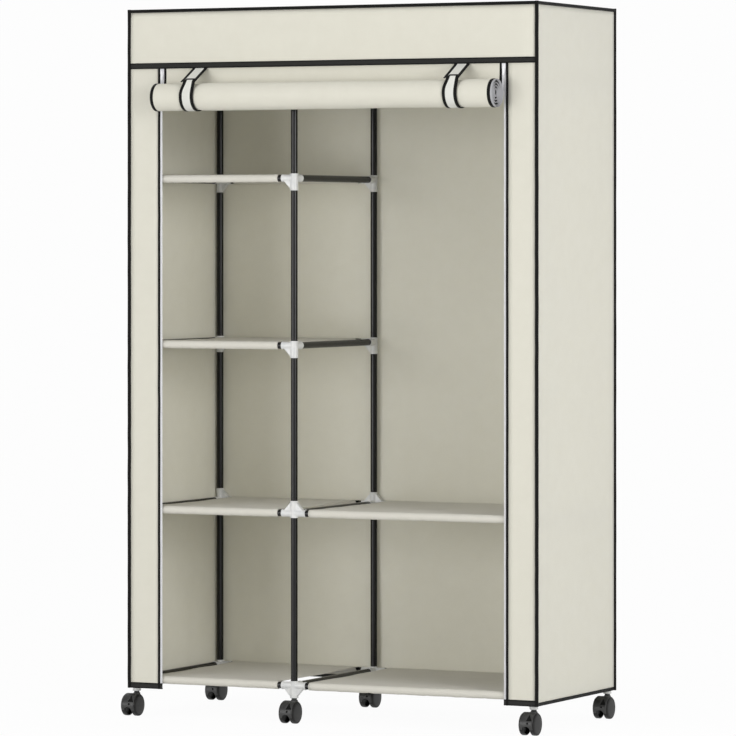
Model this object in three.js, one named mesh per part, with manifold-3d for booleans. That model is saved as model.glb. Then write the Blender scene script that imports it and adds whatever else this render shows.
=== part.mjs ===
// Portable fabric wardrobe: a tube frame on six casters, six fabric shelves and a hanging rod,
// dressed in a sewn cover whose zipped door is rolled up and held by two straps.
// Millimetres. X runs left to right seen from the front, Y to the back, Z up from the floor.
import * as THREE from 'three';
import Module from 'manifold-3d';
import { mergeVertices } from 'three/addons/utils/BufferGeometryUtils.js';

const wasm = await Module();
wasm.setup();

// Overall sizes of the cover, measured between the centres of its corner piping
const coverWidth = 1060;
const coverDepth = 450;
const hemHeight = 65;
const fabricThickness = 1.2;
const coverSlack = 2.6;
const leftStripWidth = 80.6;
const rightStripWidth = 74.1;

// Edging sewn round the cover
const cornerPipingRadius = 3.2;
const topPipingShare = 0.94;
const innerPipingWidth = 6;
const innerPipingHeight = 2.2;
const frontHemBand = 12;
const sideHemBand = 8;
const bandProud = 1;
const valanceDrop = 135;
const valanceBand = 12;
const valanceStandOff = 3;

// Steel tubes and the plastic fittings that join them
const tubeDiameter = 16;
const tubeWall = 0.8;
const clearance = 0.3;
const fittingWall = 0.9;
const armStep = 0.7;
const armLength = 31;
const collarLong = 29;
const collarShort = 11;
const webRise = 24;
const webFootSetback = 1.5;
const webThickness = 10;
const webTopShare = 0.93;
const spigotLength = 18;
const boreLap = 2;
const postFootDepth = 2;
const postHeadRise = 5;
const headCap = 1.2;

// Where the posts and the levels stand
const leftBayPitch = 420;
const lowerPitch = 403.4;
const middlePitch = 392;
const upperPitch = 392;
const topPitch = 387.5;
const hangingDrop = 176;

// Fabric shelves, whose sewn sleeves slide over the front and rear tubes
const sleeveFabric = 0.7;
const bareTube = 9.5;

// Rolled door, its two straps and the zips beside it
const rollRadius = 32.5;
const rollDrop = 71.7;
const rollStandOff = 5.5;
const rollPitch = 2.4;
const rollTurns = 5;
const tailBlendHeight = 55;
const tailHeadroom = 30;
const strapWidth = 36;
const strapThickness = 0.8;
const strapInset = 98;
const strapLeave = 4;
const shoulderForward = 22;
const shoulderStandOff = 4.5;
const zipWidth = 10.5;
const sliderWidth = 9;
const sliderLength = 24;
const sliderPlate = 2;
const sliderDrop = 2;
const sliderTailShare = 0.6;
const pullWidth = 5;
const pullLength = 22;
const pullThickness = 1.3;
const pullHoleRadius = 1.2;

// Twin-wheel casters
const wheelRadius = 25.5;
const casterWidth = 37;
const hubGap = 7.2;
const discDome = 2.2;
const discFlatShare = 0.72;
const axleRadius = 3;
const casterTrail = 20;
const hoodThickness = 1.7;
const hoodClearance = 0.6;
const hoodInset = 3.4;
const hoodFrontHeight = 14;
const hoodRearHeight = 22;
const bossRadius = 8.5;
const neckRadius = 6.3;
const neckHeight = 4;
const stemRadius = 4;
const stemLength = 22;
const archRadius = 6;
const dentWidth = 9;
const dentRise = 43;
const dentSlope = 5;
const dentDepth = 1;
const peepRadius = 2;
const peepHeight = 30;

// How finely round shapes are cut into flats, and how far a cutter runs past what it cuts
const tubeSides = 8;
const pipingSides = 8;
const wheelSides = 16;
const hoodSteps = 8;
const rollSteps = 16;
const strapSteps = 24;
const tailSteps = 6;
const beadSteps = 6;
const overrun = 5;
const weldDistance = 0.0001;

// Values that follow from the sizes above
const tubeRadius = tubeDiameter / 2;
const boreRadius = tubeRadius + clearance;
const collarRadius = boreRadius + fittingWall;
const armRadius = tubeRadius + armStep;
const spigotRadius = tubeRadius - tubeWall - clearance;
const sleeveRadius = tubeRadius + clearance + sleeveFabric;
const postInset = collarRadius + fabricThickness + coverSlack;
const halfWidth = coverWidth / 2;
const halfDepth = coverDepth / 2;
const postY = halfDepth - postInset;
const leftPostX = -halfWidth + postInset;
const rightPostX = halfWidth - postInset;
const centrePostX = leftPostX + leftBayPitch;
const hoodRadius = wheelRadius + hoodClearance + hoodThickness;
const casterTop = wheelRadius + hoodRadius;
const bottomLevel = casterTop + neckHeight + clearance + collarLong;
const lowerLevel = bottomLevel + lowerPitch;
const middleLevel = lowerLevel + middlePitch;
const upperLevel = middleLevel + upperPitch;
const topLevel = upperLevel + topPitch;
const hangingLevel = topLevel - hangingDrop;
const coverTop = topLevel + armRadius + clearance + fabricThickness;
const pipingCut = cornerPipingRadius + clearance;
const cornerCut = pipingCut * Math.SQRT2;
const valanceBottom = coverTop - valanceDrop;
const rollHeight = valanceBottom - rollDrop;
const leftPipingX = -halfWidth + leftStripWidth;
const rightPipingX = halfWidth - rightStripWidth;
const zipOffset = innerPipingWidth / 2 + zipWidth / 2;
const leftZipX = leftPipingX + zipOffset;
const rightZipX = rightPipingX - zipOffset;
const doorLeft = leftZipX + zipWidth / 2;
const doorRight = rightZipX - zipWidth / 2;
const rollY = -halfDepth - rollStandOff - rollRadius;

const cream = new THREE.MeshStandardMaterial({ color: 0xdedccf, roughness: 0.85, metalness: 0 });
const black = new THREE.MeshStandardMaterial({ color: 0x1c1c19, roughness: 0.7, metalness: 0 });
const steel = new THREE.MeshStandardMaterial({ color: 0x17171a, roughness: 0.35, metalness: 0.4 });
const white = new THREE.MeshStandardMaterial({ color: 0xf0f0ee, roughness: 0.4, metalness: 0 });
const wheelBlack = new THREE.MeshStandardMaterial({ color: 0x202022, roughness: 0.4, metalness: 0 });

// Turns a closed three.js geometry into a solid that can be joined and cut
function solidOf(geometry) {
  geometry.deleteAttribute('normal');
  geometry.deleteAttribute('uv');
  const welded = mergeVertices(geometry, weldDistance);
  return new wasm.Manifold(new wasm.Mesh({
    numProp: 3,
    vertProperties: welded.attributes.position.array,
    triVerts: welded.index.array,
  }));
}

// Turns a solid back into a geometry for a mesh
function geometryOf(solid) {
  const result = solid.getMesh();
  const geometry = new THREE.BufferGeometry();
  geometry.setAttribute('position', new THREE.BufferAttribute(result.vertProperties, 3));
  geometry.setIndex(new THREE.BufferAttribute(result.triVerts, 1));
  geometry.computeVertexNormals();
  return geometry;
}

const joined = (solids) => solids.reduce((whole, piece) => whole.add(piece));

// Round bars along each axis, given by their two ends and the two places across
function barX(from, to, y, z, radius, sides = tubeSides) {
  const geometry = new THREE.CylinderGeometry(radius, radius, Math.abs(to - from), sides);
  geometry.rotateZ(-Math.PI / 2);
  return solidOf(geometry.translate((from + to) / 2, y, z));
}

function barY(from, to, x, z, radius, sides = tubeSides) {
  const geometry = new THREE.CylinderGeometry(radius, radius, Math.abs(to - from), sides);
  return solidOf(geometry.translate(x, (from + to) / 2, z));
}

function barZ(from, to, x, y, radius, sides = tubeSides) {
  const geometry = new THREE.CylinderGeometry(radius, radius, Math.abs(to - from), sides);
  geometry.rotateX(Math.PI / 2);
  return solidOf(geometry.translate(x, y, (from + to) / 2));
}

function slab(x0, x1, y0, y1, z0, z1) {
  const geometry = new THREE.BoxGeometry(x1 - x0, y1 - y0, z1 - z0);
  return solidOf(geometry.translate((x0 + x1) / 2, (y0 + y1) / 2, (z0 + z1) / 2));
}

// An outline drawn in the plane square to the axis, carried along it between two places.
// Along X the outline is given in (y, z), along Y in (z, x) and along Z in (x, y).
const basisOf = {
  x: [new THREE.Vector3(0, 1, 0), new THREE.Vector3(0, 0, 1), new THREE.Vector3(1, 0, 0)],
  y: [new THREE.Vector3(0, 0, 1), new THREE.Vector3(1, 0, 0), new THREE.Vector3(0, 1, 0)],
  z: [new THREE.Vector3(1, 0, 0), new THREE.Vector3(0, 1, 0), new THREE.Vector3(0, 0, 1)],
};

function prism(outline, axis, from, to) {
  const shape = new THREE.Shape(outline.map(([u, v]) => new THREE.Vector2(u, v)));
  const geometry = new THREE.ExtrudeGeometry(shape, { depth: to - from, bevelEnabled: false });
  geometry.translate(0, 0, from);
  return solidOf(geometry.applyMatrix4(new THREE.Matrix4().makeBasis(...basisOf[axis])));
}

// Outline of a thin sheet: one face follows the path, the other lies a thickness to its left
function sheetOutline(path, thickness) {
  const points = path.map(([u, v]) => new THREE.Vector2(u, v));
  const normalOf = (a, b) => {
    const along = b.clone().sub(a).normalize();
    return new THREE.Vector2(-along.y, along.x);
  };
  const offset = points.map((point, i) => {
    const before = normalOf(points[Math.max(i - 1, 0)], points[Math.max(i, 1)]);
    const after = normalOf(points[Math.min(i, points.length - 2)], points[Math.min(i + 1, points.length - 1)]);
    const mean = before.clone().add(after).normalize();
    return point.clone().addScaledVector(mean, thickness / mean.dot(before));
  });
  return [...points, ...offset.reverse()].map((point) => [point.x, point.y]);
}

// Frame tubes

function tubeAlongY(length) {
  const outer = barY(-length / 2, length / 2, 0, 0, tubeRadius);
  return outer.subtract(barY(-length / 2 - overrun, length / 2 + overrun, 0, 0, tubeRadius - tubeWall));
}

function tubeAlongX(length) {
  const outer = barX(-length / 2, length / 2, 0, 0, tubeRadius);
  return outer.subtract(barX(-length / 2 - overrun, length / 2 + overrun, 0, 0, tubeRadius - tubeWall));
}

function postTube(length) {
  const outer = barZ(0, length, 0, 0, tubeRadius);
  return outer.subtract(barZ(-overrun, length + overrun, 0, 0, tubeRadius - tubeWall));
}

// A moulded fitting: a collar round the post, arms for the tubes that meet it, a spigot that
// enters the depth tube, and a thick web from each side arm to the collar's long end.
// collar holds how far it reaches up and down, arms the directions of the side arms.
function fittingBody({ x, arms, inward, collar, webSide }) {
  const pieces = [
    barZ(-collar.down, collar.up, x, 0, collarRadius),
    barY(0, inward * armLength, x, 0, armRadius),
    barY(0, inward * (armLength + spigotLength), x, 0, spigotRadius),
  ];
  for (const side of arms) {
    pieces.push(barX(x, x + side * armLength, 0, 0, armRadius));
    const web = [
      [0, x],
      [0, x + side * (armLength - webFootSetback)],
      [webSide * webRise, x + side * collarRadius * webTopShare],
      [webSide * webRise, x],
    ];
    pieces.push(prism(web, 'y', -webThickness / 2, webThickness / 2));
  }
  return joined(pieces);
}

// The bore that a post stands in: through, blind from below, or blind from above with the
// socket of the caster's stem beneath it
function postBore(x, ends) {
  if (ends === 'head') {
    return barZ(-collarLong - overrun, postHeadRise + clearance, x, 0, boreRadius);
  }
  if (ends === 'foot') {
    const bore = barZ(-postFootDepth - clearance, collarShort + overrun, x, 0, boreRadius);
    const socketTop = -collarLong - clearance + stemLength + clearance;
    return bore.add(barZ(-collarLong - overrun, socketTop, x, 0, stemRadius + clearance));
  }
  return barZ(-collarLong - overrun, collarLong + overrun, x, 0, boreRadius);
}

// One front or rear rail: its tubes with the fittings moulded for each post it meets.
// inward is +1 on a front rail and -1 on a rear one.
function rail({ posts, inward, webSide, ends }) {
  const collars = {
    head: { up: postHeadRise + clearance + headCap, down: collarLong },
    foot: { up: collarShort, down: collarLong },
    through: webSide > 0 ? { up: collarLong, down: collarShort } : { up: collarShort, down: collarLong },
  };
  const last = posts.length - 1;
  let solid = barX(posts[0], posts[last], 0, 0, tubeRadius);
  posts.forEach((x, i) => {
    const arms = [];
    if (i > 0) arms.push(-1);
    if (i < last) arms.push(1);
    solid = solid.add(fittingBody({ x, arms, inward, collar: collars[ends], webSide }));
  });
  posts.forEach((x) => {
    solid = solid.subtract(postBore(x, ends));
  });
  for (let i = 0; i < last; i += 1) {
    const from = posts[i] + boreRadius - boreLap;
    const to = posts[i + 1] - boreRadius + boreLap;
    solid = solid.subtract(barX(from, to, 0, 0, tubeRadius - tubeWall));
  }
  return solid;
}

// The tube that carries one end of the hanging rod, with a collar round each post of its pair
// and a tee whose spigot enters the rod. side is the direction of the rod.
function hangingCrossbar(side) {
  const reach = postY;
  const teeHalf = armLength / 2;
  const pieces = [
    barY(-reach, reach, 0, 0, tubeRadius),
    barY(-teeHalf, teeHalf, 0, 0, armRadius),
    barX(0, side * armLength, 0, 0, armRadius),
    barX(0, side * (armLength + spigotLength), 0, 0, spigotRadius),
  ];
  for (const end of [-1, 1]) {
    pieces.push(barZ(-collarLong, collarShort, 0, end * reach, collarRadius));
    pieces.push(barY(end * (reach - armLength), end * reach, 0, 0, armRadius));
  }
  let solid = joined(pieces);
  for (const end of [-1, 1]) {
    solid = solid.subtract(barZ(-collarLong - overrun, collarShort + overrun, 0, end * reach, boreRadius));
    const from = end * teeHalf;
    const to = end * (reach - boreRadius + boreLap);
    solid = solid.subtract(barY(from, to, 0, 0, tubeRadius - tubeWall));
  }
  return solid;
}

// A fabric shelf: a sheet level with the tops of the two sleeves that hold it
function shelf(length) {
  const sheetTop = sleeveRadius;
  let solid = slab(0, length, -postY, postY, sheetTop - fabricThickness, sheetTop);
  for (const y of [-postY, postY]) {
    solid = solid.add(barX(0, length, y, 0, sleeveRadius));
  }
  for (const y of [-postY, postY]) {
    solid = solid.subtract(barX(-overrun, length + overrun, y, 0, boreRadius));
  }
  return solid;
}

// Cover

// Side panel and front strip of one side, sewn together behind the corner piping. The strip
// ends in half of the zip. side is -1 on the left and +1 on the right.
function sidePanel(side, zipX) {
  const path = [
    [zipX, -halfDepth],
    [side * (halfWidth - cornerCut), -halfDepth],
    [side * halfWidth, -halfDepth + cornerCut],
    [side * halfWidth, halfDepth - pipingCut],
  ];
  const outline = sheetOutline(path, side * fabricThickness);
  const bottom = hemHeight + sideHemBand + clearance;
  const top = coverTop - pipingCut;
  const stripBottom = hemHeight + frontHemBand + clearance;
  const foldDepth = cornerCut + fabricThickness;
  const stripTop = coverTop - cornerCut - (fabricThickness + clearance) * Math.SQRT2;
  const inner = Math.min(side * zipX, side * halfWidth) - overrun;
  const outer = halfWidth + overrun;
  const x0 = Math.min(side * inner, side * outer);
  const x1 = Math.max(side * inner, side * outer);
  const front = -halfDepth - overrun;
  const back = -halfDepth + foldDepth;
  return prism(outline, 'z', bottom, top)
    .subtract(slab(x0, x1, front, back, bottom - overrun, stripBottom))
    .subtract(slab(x0, x1, front, back, stripTop, top + overrun));
}

function backPanel() {
  const reach = halfWidth - pipingCut;
  const bottom = hemHeight + sideHemBand + clearance;
  return slab(-reach, reach, halfDepth - fabricThickness, halfDepth, bottom, coverTop - pipingCut);
}

// Top panel and the valance that hangs from it in front, folded behind the front top piping
function topPanel() {
  const valanceFront = -halfDepth - valanceStandOff - fabricThickness;
  const foldTop = -halfDepth + cornerCut;
  const path = [
    [halfDepth - pipingCut, coverTop],
    [foldTop, coverTop],
    [valanceFront, coverTop - (foldTop - valanceFront)],
    [valanceFront, valanceBottom + valanceBand + clearance],
  ];
  const reach = halfWidth - pipingCut;
  return prism(sheetOutline(path, fabricThickness), 'x', -reach, reach);
}

// Half-round piping laid on the front of a strip beside its zip
function innerPiping(x) {
  const outline = [];
  for (let i = 0; i <= beadSteps; i += 1) {
    const angle = Math.PI * i / beadSteps;
    const across = innerPipingWidth / 2 * Math.cos(angle);
    outline.push([x + across, -halfDepth - clearance - innerPipingHeight * Math.sin(angle)]);
  }
  return prism(outline, 'z', hemHeight, valanceBottom + valanceBand);
}

// All the black edging in one piece, as it is joined at the cover's corners and hems
function coverBinding() {
  const pieces = [];
  const hemTop = hemHeight + sideHemBand;
  const topRadius = cornerPipingRadius * topPipingShare;
  for (const side of [-1, 1]) {
    for (const end of [-1, 1]) {
      const x = side * halfWidth;
      const corner = coverTop + cornerPipingRadius;
      pieces.push(barZ(hemHeight, corner, x, end * halfDepth, cornerPipingRadius, pipingSides));
    }
    pieces.push(barY(-halfDepth, halfDepth, side * halfWidth, coverTop, topRadius, pipingSides));
    const outer = side * (halfWidth + bandProud);
    const inner = side * (halfWidth - fabricThickness - bandProud);
    const x0 = Math.min(outer, inner);
    pieces.push(slab(x0, Math.max(outer, inner), -halfDepth, halfDepth, hemHeight, hemTop));
  }
  for (const end of [-1, 1]) {
    pieces.push(barX(-halfWidth, halfWidth, end * halfDepth, coverTop, topRadius, pipingSides));
  }
  const backInner = halfDepth - fabricThickness - bandProud;
  pieces.push(slab(-halfWidth, halfWidth, backInner, halfDepth + bandProud, hemHeight, hemTop));
  const bandFront = -halfDepth - bandProud;
  const bandBack = -halfDepth + fabricThickness + bandProud;
  const stripTop = hemHeight + frontHemBand;
  pieces.push(slab(-halfWidth, leftZipX, bandFront, bandBack, hemHeight, stripTop));
  pieces.push(slab(rightZipX, halfWidth, bandFront, bandBack, hemHeight, stripTop));
  pieces.push(innerPiping(leftPipingX), innerPiping(rightPipingX));
  const valanceFront = -halfDepth - valanceStandOff - fabricThickness;
  const valanceBack = -halfDepth - innerPipingHeight;
  const bandTop = valanceBottom + valanceBand;
  const front = valanceFront - bandProud;
  pieces.push(slab(-halfWidth, halfWidth, front, valanceBack, valanceBottom, bandTop));
  return joined(pieces);
}

// Rolled door

// How far the door's rear face stands behind the front plane at a height above the roll's
// middle: it leaves the roll at its back and eases into the plane of the closed door
function tailRear(height) {
  const share = THREE.MathUtils.smoothstep(height, rollHeight, rollHeight + tailBlendHeight);
  return THREE.MathUtils.lerp(rollY + rollRadius, -halfDepth + fabricThickness, share);
}

function tailPath(top, setBack) {
  const path = [[tailRear(top) + setBack, top]];
  for (let i = tailSteps; i > 0; i -= 1) {
    const height = rollHeight + tailBlendHeight * i / tailSteps;
    path.push([tailRear(height) + setBack, height]);
  }
  return path;
}

// The door hangs from the top, enters the roll at its back and winds inward round a core
function rolledDoor() {
  const path = tailPath(coverTop - tailHeadroom, 0);
  for (let i = 0; i <= rollTurns * rollSteps; i += 1) {
    const angle = -2 * Math.PI * i / rollSteps;
    const radius = rollRadius - rollPitch * i / rollSteps;
    path.push([rollY + radius * Math.cos(angle), rollHeight + radius * Math.sin(angle)]);
  }
  const turns = path.slice(-rollTurns * rollSteps - 1);
  const steps = turns.slice(rollSteps).map(([y, z], i) => Math.hypot(y - turns[i][0], z - turns[i][1]));
  const flatShare = Math.cos(Math.PI / rollSteps);
  const leastGap = Math.min(...steps) * flatShare - fabricThickness;
  console.log(`Least gap between the turns of the rolled door: ${leastGap.toFixed(2)} mm`);
  const coreRadius = rollRadius - rollPitch * rollTurns;
  const winding = prism(sheetOutline(path, -fabricThickness), 'x', doorLeft, doorRight);
  return winding.add(barX(doorLeft, doorRight, rollY, rollHeight, coreRadius, rollSteps));
}

// A strap: down in front of the door's top, round the front and underside of the roll and up
// again behind the door
function strap() {
  const step = 2 * Math.PI / strapSteps;
  const radius = (rollRadius + clearance) / Math.cos(step / 2);
  const headY = -halfDepth - clearance;
  const leaveHeight = valanceBottom - strapLeave;
  const shoulderRise = rollRadius + shoulderStandOff;
  const away = Math.hypot(shoulderForward, shoulderRise);
  const lean = Math.atan2(shoulderRise, -shoulderForward);
  const touch = lean + Math.acos(radius / away);
  const top = coverTop - tailHeadroom;
  const shoulder = [rollY - shoulderForward, rollHeight + shoulderRise];
  const path = [[headY, top], [headY, leaveHeight], shoulder];
  const count = Math.ceil((2 * Math.PI - touch) / step);
  for (let i = 0; i <= count; i += 1) {
    const angle = touch + (2 * Math.PI - touch) * i / count;
    path.push([rollY + radius * Math.cos(angle), rollHeight + radius * Math.sin(angle)]);
  }
  const behind = radius - rollRadius;
  path.push(...tailPath(top, behind).reverse());
  return prism(sheetOutline(path, -strapThickness), 'x', -strapWidth / 2, strapWidth / 2);
}

// Zip slider: two plates that hold the toothed edge of the strip between them, with a pull.
// side is -1 on the left zip and +1 on the right one; the middle of the slider is at zero.
function zipSlider(side) {
  const half = sliderWidth / 2;
  const front = -clearance - sliderPlate;
  const back = fabricThickness + clearance + sliderPlate;
  const top = sliderLength / 2;
  const tail = half * sliderTailShare;
  const outline = [[top, -half], [top, half], [0, half], [-top, tail], [-top, -tail], [0, -half]];
  const slotFar = side * (half + overrun);
  const slotNear = -side * clearance;
  const slot = slab(Math.min(slotFar, slotNear), Math.max(slotFar, slotNear),
    -clearance, fabricThickness + clearance, -top - overrun, top + overrun);
  const pullTop = top / 2;
  const pullBottom = pullTop - pullLength;
  const pullFront = front - pullThickness;
  const pull = slab(-pullWidth / 2, pullWidth / 2, pullFront, front, pullBottom, pullTop);
  const hole = barY(pullFront - overrun, front, 0, pullBottom + pullWidth / 2, pullHoleRadius, pipingSides);
  return prism(outline, 'y', front, back).subtract(slot).add(pull.subtract(hole));
}

// Casters, drawn round the stem's axis with the floor at zero

// Two wheels on one axle, turned about X: domed discs outside, plain treads between
function wheelPair() {
  const flatRadius = wheelRadius / Math.cos(Math.PI / wheelSides);
  const half = casterWidth / 2;
  const treadEnd = half - discDome;
  const inner = hubGap / 2;
  const profile = [
    [0, -half],
    [flatRadius * discFlatShare, -half],
    [flatRadius, -treadEnd],
    [flatRadius, -inner],
    [axleRadius, -inner],
    [axleRadius, inner],
    [flatRadius, inner],
    [flatRadius, treadEnd],
    [flatRadius * discFlatShare, half],
    [0, half],
  ];
  const points = profile.map(([radius, along]) => new THREE.Vector2(radius, along));
  const turned = new THREE.LatheGeometry(points, wheelSides);
  turned.rotateY(Math.PI / wheelSides);
  turned.rotateZ(-Math.PI / 2);
  return solidOf(turned.translate(0, -casterTrail, wheelRadius));
}

// Housing: a hood over both treads, a web between the wheels that holds the axle, and the
// neck and stem that turn in the frame
function casterHousing() {
  const lowFront = Math.asin((hoodFrontHeight - wheelRadius) / hoodRadius);
  const outline = [];
  for (let i = 0; i <= hoodSteps; i += 1) {
    const angle = lowFront + (Math.PI / 2 - lowFront) * i / hoodSteps;
    const y = -casterTrail - hoodRadius * Math.cos(angle);
    outline.push([y, wheelRadius + hoodRadius * Math.sin(angle)]);
  }
  const lowRear = Math.asin((hoodRearHeight - wheelRadius) / hoodRadius);
  for (let i = 1; i <= hoodSteps; i += 1) {
    const angle = Math.PI / 2 + (Math.PI / 2 - lowRear) * i / hoodSteps;
    const y = -casterTrail - hoodRadius * Math.cos(angle);
    outline.push([y, wheelRadius + hoodRadius * Math.sin(angle)]);
  }
  outline.push([-casterTrail, hoodFrontHeight]);
  const half = casterWidth / 2 - hoodInset;
  const web = hubGap / 2 - hoodClearance;
  const housing = prism(outline.reverse(), 'x', -half, half)
    .add(barZ(hoodRearHeight, casterTop, 0, 0, bossRadius));
  const cutRadius = (wheelRadius + hoodClearance) / Math.cos(Math.PI / wheelSides);
  const notch = barY(-casterTrail - hoodRadius - overrun, -casterTrail - wheelRadius / 2,
    0, hoodFrontHeight, archRadius);
  const frontY = -casterTrail - hoodRadius;
  const dent = prism([[dentRise, 0], [dentRise - dentWidth, dentWidth / 2],
    [dentRise - dentWidth, -dentWidth / 2]], 'y', frontY - overrun, frontY + dentSlope + dentDepth);
  const peep = barY(frontY - overrun, frontY + hoodThickness / 2, 0, peepHeight, peepRadius, pipingSides);
  const stem = barZ(casterTop - hoodThickness, casterTop + neckHeight, 0, 0, neckRadius)
    .add(barZ(casterTop, casterTop + neckHeight + stemLength, 0, 0, stemRadius));
  return housing
    .subtract(barX(web, half + overrun, -casterTrail, wheelRadius, cutRadius, wheelSides))
    .subtract(barX(-half - overrun, -web, -casterTrail, wheelRadius, cutRadius, wheelSides))
    .subtract(notch)
    .subtract(dent)
    .subtract(peep)
    .add(stem)
    .subtract(barX(-half, half, -casterTrail, wheelRadius, axleRadius + clearance));
}

// The whole wardrobe as a scene

const wardrobe = new THREE.Group();
wardrobe.name = 'fabric_wardrobe';

function add(name, geometry, material, x = 0, y = 0, z = 0) {
  const mesh = new THREE.Mesh(geometry, material);
  mesh.name = name;
  mesh.position.set(x, y, z);
  wardrobe.add(mesh);
  return mesh;
}

const columns = { left: leftPostX, centre: centrePostX, right: rightPostX };
const rows = { front: -postY, rear: postY };
const levels = {
  bottom: bottomLevel, lower: lowerLevel, middle: middleLevel, upper: upperLevel, top: topLevel,
};

// Posts and the casters under them
const postBottom = bottomLevel - postFootDepth;
const postGeometry = geometryOf(postTube(topLevel + postHeadRise - postBottom));
const housingGeometry = geometryOf(casterHousing());
const wheelGeometry = geometryOf(wheelPair());
for (const [row, y] of Object.entries(rows)) {
  for (const [column, x] of Object.entries(columns)) {
    add(`post_${row}_${column}`, postGeometry, steel, x, y, postBottom);
    add(`caster_${row}_${column}`, housingGeometry, wheelBlack, x, y, 0);
    add(`caster_wheels_${row}_${column}`, wheelGeometry, wheelBlack, x, y, 0);
  }
}

// Front and rear rails: full width at the bottom, lower and top levels, left bay between
const wholeRun = [leftPostX, centrePostX, rightPostX];
const leftRun = [leftPostX, centrePostX];
const railPlan = {
  bottom: { posts: wholeRun, webSide: -1, ends: 'foot' },
  lower: { posts: wholeRun, webSide: 1, ends: 'through' },
  middle: { posts: leftRun, webSide: -1, ends: 'through' },
  upper: { posts: leftRun, webSide: -1, ends: 'through' },
  top: { posts: wholeRun, webSide: -1, ends: 'head' },
};
for (const [row, y] of Object.entries(rows)) {
  for (const [level, plan] of Object.entries(railPlan)) {
    const geometry = geometryOf(rail({ ...plan, inward: row === 'front' ? 1 : -1 }));
    add(`rail_${row}_${level}`, geometry, white, 0, y, levels[level]);
  }
}

// Depth tubes between each front fitting and the rear one behind it
const depthTubeGeometry = geometryOf(tubeAlongY(2 * (postY - armLength - clearance)));
for (const [level, plan] of Object.entries(railPlan)) {
  for (const [column, x] of Object.entries(columns)) {
    if (plan.posts.includes(x)) {
      add(`depth_tube_${column}_${level}`, depthTubeGeometry, steel, x, 0, levels[level]);
    }
  }
}

// Hanging rod and the two crossbars that carry it
add('hanging_crossbar_centre', geometryOf(hangingCrossbar(1)), steel, centrePostX, 0, hangingLevel);
add('hanging_crossbar_right', geometryOf(hangingCrossbar(-1)), steel, rightPostX, 0, hangingLevel);
const rodLength = rightPostX - centrePostX - 2 * (armLength + clearance);
const rodMiddle = (centrePostX + rightPostX) / 2;
add('hanging_rod', geometryOf(tubeAlongX(rodLength)), steel, rodMiddle, 0, hangingLevel);

// Shelves
const sleeveSetback = armLength + bareTube;
const leftShelf = geometryOf(shelf(leftBayPitch - 2 * sleeveSetback));
for (const level of ['bottom', 'lower', 'middle', 'upper']) {
  add(`shelf_left_${level}`, leftShelf, cream, leftPostX + sleeveSetback, 0, levels[level]);
}
const rightShelf = geometryOf(shelf(rightPostX - centrePostX - 2 * sleeveSetback));
for (const level of ['bottom', 'lower']) {
  add(`shelf_right_${level}`, rightShelf, cream, centrePostX + sleeveSetback, 0, levels[level]);
}

// Cover
add('side_panel_left', geometryOf(sidePanel(-1, leftZipX)), cream);
add('side_panel_right', geometryOf(sidePanel(1, rightZipX)), cream);
add('back_panel', geometryOf(backPanel()), cream);
add('top_panel', geometryOf(topPanel()), cream);
add('cover_binding', geometryOf(coverBinding()), black);
add('rolled_door', geometryOf(rolledDoor()), cream);
const strapGeometry = geometryOf(strap());
add('strap_left', strapGeometry, cream, doorLeft + strapInset);
add('strap_right', strapGeometry, cream, doorRight - strapInset);
const sliderHeight = valanceBottom - sliderDrop - sliderLength / 2;
add('zip_slider_left', geometryOf(zipSlider(-1)), white, leftZipX, -halfDepth, sliderHeight);
add('zip_slider_right', geometryOf(zipSlider(1)), white, rightZipX, -halfDepth, sliderHeight);

// The origin is under the middle of the whole part's box, roll included
const box = new THREE.Box3().setFromObject(wardrobe);
wardrobe.position.y = -(box.min.y + box.max.y) / 2;

export default wardrobe;
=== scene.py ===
# %% [markdown]
# # Portable fabric wardrobe
# A steel tube frame stands on casters. It carries six fabric shelves and a hanging rod, and wears
# a sewn cover whose zipped door is rolled up under the valance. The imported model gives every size
# and place, and this lesson builds the surfaces that a close look would show.

# %% Load the frame and note its box
import math

import bpy
import numpy as np
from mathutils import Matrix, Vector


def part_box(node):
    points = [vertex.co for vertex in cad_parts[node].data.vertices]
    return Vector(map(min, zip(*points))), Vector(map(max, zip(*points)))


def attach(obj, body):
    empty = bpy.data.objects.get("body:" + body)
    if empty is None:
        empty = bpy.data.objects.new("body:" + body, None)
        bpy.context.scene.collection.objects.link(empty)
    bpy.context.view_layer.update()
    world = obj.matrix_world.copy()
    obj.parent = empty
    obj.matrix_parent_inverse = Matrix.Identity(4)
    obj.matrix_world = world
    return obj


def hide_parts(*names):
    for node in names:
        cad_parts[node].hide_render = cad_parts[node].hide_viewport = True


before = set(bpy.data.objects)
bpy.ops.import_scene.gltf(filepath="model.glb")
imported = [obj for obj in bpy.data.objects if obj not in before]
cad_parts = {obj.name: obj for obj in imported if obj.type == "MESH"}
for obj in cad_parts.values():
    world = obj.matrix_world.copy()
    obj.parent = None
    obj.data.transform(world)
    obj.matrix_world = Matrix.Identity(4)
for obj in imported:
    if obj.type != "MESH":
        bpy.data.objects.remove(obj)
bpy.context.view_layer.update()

# %% [markdown]
# ## Reading sizes from the frame
# Every piece takes its place from the box of the part that it dresses. `low` and `high` give the
# two corners of such a box, so a later change of size moves the looks with it.

# %% Sizes read from the frame
MM = 0.001
TAU = 2 * math.pi
X, Y, Z = 0, 1, 2
UP = np.array([0.0, 0.0, 1.0])
ROWS = ("front", "rear")
COLUMNS = ("left", "centre", "right")
LEVELS = ("bottom", "lower", "middle", "upper", "top")


def low(node):
    """The lower, left, front corner of a node's box."""
    return np.array(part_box(node)[0])


def high(node):
    """The upper, right, rear corner of a node's box."""
    return np.array(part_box(node)[1])


def middle(node):
    """The middle of a node's box: the mean of its two corners."""
    return (low(node) + high(node)) / 2


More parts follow.
